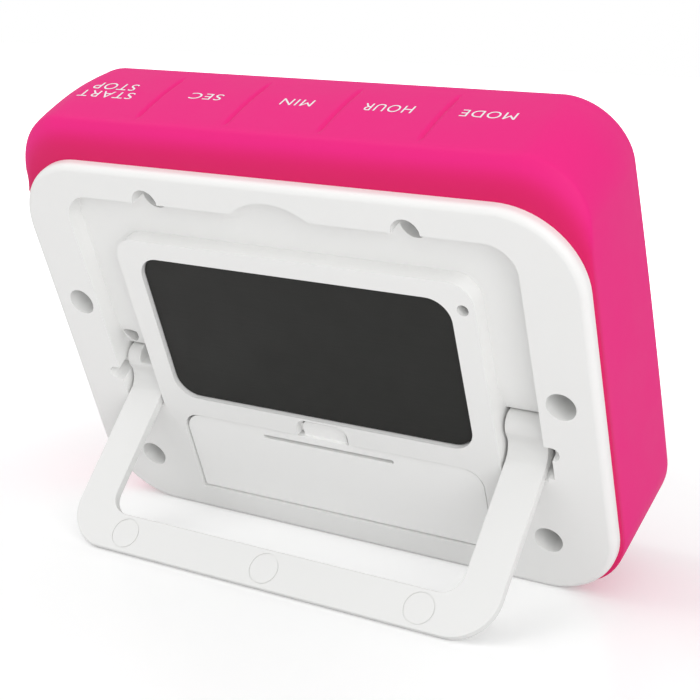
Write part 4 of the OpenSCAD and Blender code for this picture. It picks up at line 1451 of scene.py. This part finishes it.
@dataclass
class DisplayDigits:
    """The liquid-crystal digits, each made of bars, with the colons between the pairs."""

    bar: float = 6.4
    thick: float = 1.35
    film: float = 0.06
    clear: float = 0.01
    gap: float = 0.3
    step: float = 9.9
    colon: float = 3.6
    slant: float = 5.0
    dot: float = 0.24
    text: str = "00:00:00"
    lit: dict[str, str] = field(default_factory=lambda: {"0": "abcdef"})

    def build(self) -> None:
        """Builds the digits on the front of the display glass."""
        spots, turns, stretch = self._bars()
        pattern = Pattern("digit_bars", {"Bar Length": self.bar, "Bar Width": self.thick,
                                         "Film": self.film})
        side = pattern.size("Bar Width", math.sqrt(0.5))
        tip = pattern.out(
            "GeometryNodeMeshCube", {"Size": pattern.vector(side, side, pattern.size("Film"))}
        )
        half = pattern.out(
            "ShaderNodeMath",
            {0: pattern.size("Bar Length", 0.5), 1: pattern.size("Bar Width", 0.5)},
            operation="SUBTRACT",
        )
        less = pattern.out("ShaderNodeMath", {0: half, 1: -1.0}, operation="MULTIPLY")
        turned = (0.0, 0.0, math.pi / 4)
        ends = pattern.join(*(pattern.move(tip, pattern.vector(x), turned) for x in (half, less)))
        shape = pattern.out("GeometryNodeConvexHull", {0: ends})
        angle, scale = (
            pattern.out("GeometryNodeInputNamedAttribute", {"Name": name}, data_type="FLOAT_VECTOR")
            for name in ("turn", "stretch")
        )
        pattern.repeat(shape, angle, scale, INK)
        low, high = CASE.span("display_glass")
        front = low[1] - self.film / 2 - self.clear
        middle = (low[2] + high[2]) / 2
        made = pattern.bake(
            "display_digits", spots,
            lambda p: np.stack([p[:, 0], front - p[:, 2], p[:, 1] + middle], 1),
            {"turn": turns, "stretch": stretch},
        )
        install(made, "case", "lcd_glass")

    def _bars(self) -> tuple[np.ndarray, np.ndarray, np.ndarray]:
        """Returns each bar's place, turn and stretch.

        Returns:
            One row of each for every bar.
        """
        lean = math.radians(self.slant)
        reach = self.bar + self.gap
        bars = {
            "a": (0, reach, 0), "d": (0, -reach, 0),
            "f": (-reach / 2, reach / 2, 90), "b": (reach / 2, reach / 2, 90),
            "e": (-reach / 2, -reach / 2, 90), "c": (reach / 2, -reach / 2, 90),
        }
        width = sum(self.colon if c == ":" else self.step for c in self.text)
        at = -width / 2
        rows = []
        for letter in self.text:
            wide = self.colon if letter == ":" else self.step
            centre = at + wide / 2
            at += wide
            if letter == ":":
                marks = [(0, y, 0, self.dot) for y in (reach / 2, -reach / 2)]
            else:
                marks = [(*bars[name], 1.0) for name in self.lit[letter]]
            for x, y, turn, long in marks:
                angle = math.radians(turn) - (lean if turn else 0)
                rows.append(((centre + x + y * math.tan(lean), y, 0), (0, 0, angle),
                             (long, 1.0, 1.0)))
        spots, turns, stretch = zip(*rows)
        return np.array(spots), np.array(turns), np.array(stretch)


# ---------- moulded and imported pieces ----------


@dataclass
class WhiteMouldings:
    """The rear cover with the hollow round the latch tab, the battery door and the stand."""

    cover_edge: float = 0.18
    door_edge: float = 0.2
    stand_edge: float = 0.35
    stand_mark: float = 2.6
    latch_half: float = 4.95
    latch_rise: float = 0.8
    latch_corner: float = 2.0
    latch_depth: float = 1.4
    latch_height: float = 4.2
    latch_above: float = 1.0

    def build(self) -> None:
        """Rounds the three and fits them to their bodies."""
        cover = moulded("rear_cover", self.cover_edge, COVER_WHITE, hollows=(self._latch(),))
        install(cover, "case", "white_cover", "rear_cover")
        # The door's white is painted lighter and the stand's white painted darker than the cover's.
        door = moulded("battery_door", self.door_edge, DOOR_WHITE_PAINTED_LIGHT)
        install(door, "battery_door", "white_cover", "battery_door")
        stand = moulded("stand", self.stand_edge, STAND_WHITE_PAINTED_SHADE, mark=self.stand_mark)
        install(stand, "stand", "white_cover", "stand")

    def _latch(self) -> Hollow:
        """Finds the arch-shaped hollow round the battery door's latch tab.

        Returns:
            The hollow.
        """
        top = CASE.span("battery_door")[1][2] + self.latch_rise
        face = CASE.span("rear_cover")[1][1]
        half, r = self.latch_half, self.latch_corner
        arc = [math.radians(a) for a in range(0, 91, 9)]
        right = [(half, top - self.latch_height)]
        right += [(half - r + r * math.cos(a), top - r + r * math.sin(a)) for a in arc]
        left = [(-x, z) for x, z in reversed(right)]
        return Hollow(tuple(right + left), face - self.latch_depth, face + self.latch_above)


@dataclass
class Magnet:
    """The dark plate in the cover's recess."""

    edge: float = 0.25

    def build(self) -> None:
        """Rounds the plate a little and fits it."""
        install(moulded("magnet", self.edge, MAGNET_BLACK), "case", "magnet", "magnet")


@dataclass
class PackedPieces:
    """The nodes that are shown as they are."""

    keys: tuple[str, ...]

    def build(self) -> None:
        """Gives each its finish."""
        for finish, nodes in (
            (HOUSING_WHITE, ("front_housing",)),
            (STEEL, ("magnet_plate", "board_screws", "crystal", "link_contact",
                     "positive_terminal", "negative_terminal")),
            (BLACK, ("switch_bodies", "chip_cap", "buzzer", "buzzer_ring", "display_holder",
                     *("plunger_" + key for key in self.keys))),
            (LENS, ("display_lens",)),
            (LCD, ("display_glass",)),
            (FOIL, ("display_reflector",)),
            (ZEBRA, ("contact_strips",)),
            (MASK_GREEN, ("circuit_board",)),
            (SHRINK, ("capacitors",)),
            (RED_WIRE, ("buzzer_leads",)),
            (JACKET, ("battery_upper", "battery_lower")),
        ):
            dress(finish, *nodes)


# ---------- studio ----------


@dataclass(frozen=True)
class Lamp:
    """A soft square lamp that faces the timer.

    Its direction is a share of right, up and toward the camera, its distance and its side are
    in metres, and its power is in watts.
    """

    name: str
    way: tuple[float, float, float]
    away: float
    size: float
    power: float


@dataclass
class Studio:
    """Plain white table, soft lamps and the camera behind the timer."""

    eye: tuple[float, float, float] = (-122.481, 156.171, 134.001)
    aim: tuple[float, float, float] = (-7.944, 0, 5.405)
    roll: float = 1.264
    lens: float = 76.4481
    table: float = 1.4
    lift: float = 0.22
    shade_near: float = 0.07
    shade_far: float = 0.19
    table_colour: tuple[float, float, float, float] = (0.86, 0.86, 0.86, 1.0)
    table_roughness: float = 0.32
    table_specular: float = 0.25
    ambient: float = 0.72
    lamps: tuple[Lamp, ...] = (
        Lamp("key_lamp", (-0.55, 0.75, 0.25), 0.9, 0.5, 1.6),
        Lamp("fill_lamp", (0.3, 0.05, 0.95), 1.0, 0.7, 3.9),
    )

    def build(self) -> None:
        """Sets up the table, the lamps, the surroundings and the camera."""
        self._camera()
        self._table()
        self._surroundings()
        centre = Vector(CASE.place(np.array([self.aim]))[0])
        for lamp in self.lamps:
            self._hang(lamp, centre)
        bpy.context.scene.view_settings.view_transform = "Standard"

    def _camera(self) -> None:
        """Places the camera."""
        eye, aim = (Vector(p) for p in CASE.place(np.array([self.eye, self.aim])))
        forward = (aim - eye).normalized()
        level = forward.cross(Vector((0, 0, 1))).normalized()
        upright = level.cross(forward)
        turn = math.radians(self.roll)
        self.right = level * math.cos(turn) + upright * math.sin(turn)
        self.up = self.right.cross(forward)
        self.toward = -forward
        camera = bpy.data.cameras.new("camera")
        camera.lens = self.lens
        camera.sensor_width = 36.0
        camera.clip_start = 0.01
        camera.clip_end = 20.0
        holder = show("camera", camera)
        holder.matrix_world = Matrix.Translation(eye) @ Matrix(
            (self.right, self.up, self.toward)
        ).transposed().to_4x4()
        bpy.context.scene.camera = holder

    def _hang(self, lamp: Lamp, centre: Vector) -> None:
        """Hangs one lamp.

        Args:
            lamp: The lamp.
            centre: Point that it faces.
        """
        data = bpy.data.lights.new(lamp.name, "AREA")
        data.shape = "SQUARE"
        data.size = lamp.size
        data.energy = lamp.power
        across, above, near = lamp.way
        way = (self.right * across + self.up * above + self.toward * near).normalized()
        turn = way.to_track_quat("Z", "Y").to_matrix().to_4x4()
        show(lamp.name, data).matrix_world = Matrix.Translation(centre + way * lamp.away) @ turn

    def _table(self) -> None:
        """Lays the pale table under the timer."""
        half = self.table
        mesh = bpy.data.meshes.new("table")
        mesh.from_pydata([(-half, -half, 0), (half, -half, 0), (half, half, 0), (-half, half, 0)],
                         [], [(0, 1, 2, 3)])
        sheet = NodeSheet("table_white")
        seen = sheet.out("ShaderNodeLightPath", pick="Is Camera Ray")
        place = sheet.out("ShaderNodeTexCoord", pick="Object")
        away = sheet.out("ShaderNodeVectorMath", {0: place}, "Value", operation="LENGTH")
        level = sheet.out(
            "ShaderNodeMapRange",
            {"Value": away, "From Min": self.shade_near, "From Max": self.shade_far,
             "To Min": self.lift, "To Max": 1.0},
            interpolation_type="SMOOTHSTEP",
        )
        straight = sheet.out("ShaderNodeMath", {0: seen, 1: level}, operation="MULTIPLY")
        body = sheet.out(
            "ShaderNodeBsdfPrincipled",
            {"Base Color": self.table_colour, "Roughness": self.table_roughness,
             "Specular IOR Level": self.table_specular},
        )
        glow = sheet.out("ShaderNodeEmission", {"Strength": straight})
        mesh.materials.append(sheet.close(sheet.out("ShaderNodeAddShader", {0: body, 1: glow})))
        table = show("table", mesh)

    def _surroundings(self) -> None:
        """Lights the scene from all round, and shows white to the camera and through glass."""
        world = bpy.data.worlds.new("studio")
        bpy.context.scene.world = world
        world.use_nodes = True
        world.node_tree.nodes.clear()
        sheet = Nodes(world.node_tree)
        seen = sheet.add("ShaderNodeLightPath").outputs
        most = sheet.out(
            "ShaderNodeMath", {0: seen["Is Camera Ray"], 1: seen["Is Transmission Ray"]},
            operation="MAXIMUM",
        )
        shades = {"Value": most, "To Min": self.ambient, "To Max": 1.0}
        level = sheet.out("ShaderNodeMapRange", shades)
        glow = sheet.out("ShaderNodeBackground", {"Color": (1.0, 1.0, 1.0, 1.0), "Strength": level})
        sheet.add("ShaderNodeOutputWorld", {"Surface": glow})


def main() -> None:
    """Builds the timer's looks in order."""
    logging.basicConfig(level=logging.INFO, format="%(name)s: %(message)s")
    Studio().build()
    sleeve = SiliconeSleeve()
    sleeve.build()
    KeyLettering(sleeve).build()
    WhiteMouldings().build()
    CaseScrews().build()
    DisplayDigits().build()
    Magnet().build()
    PackedPieces(sleeve.keys).build()


if __name__ == "__main__":
    main()
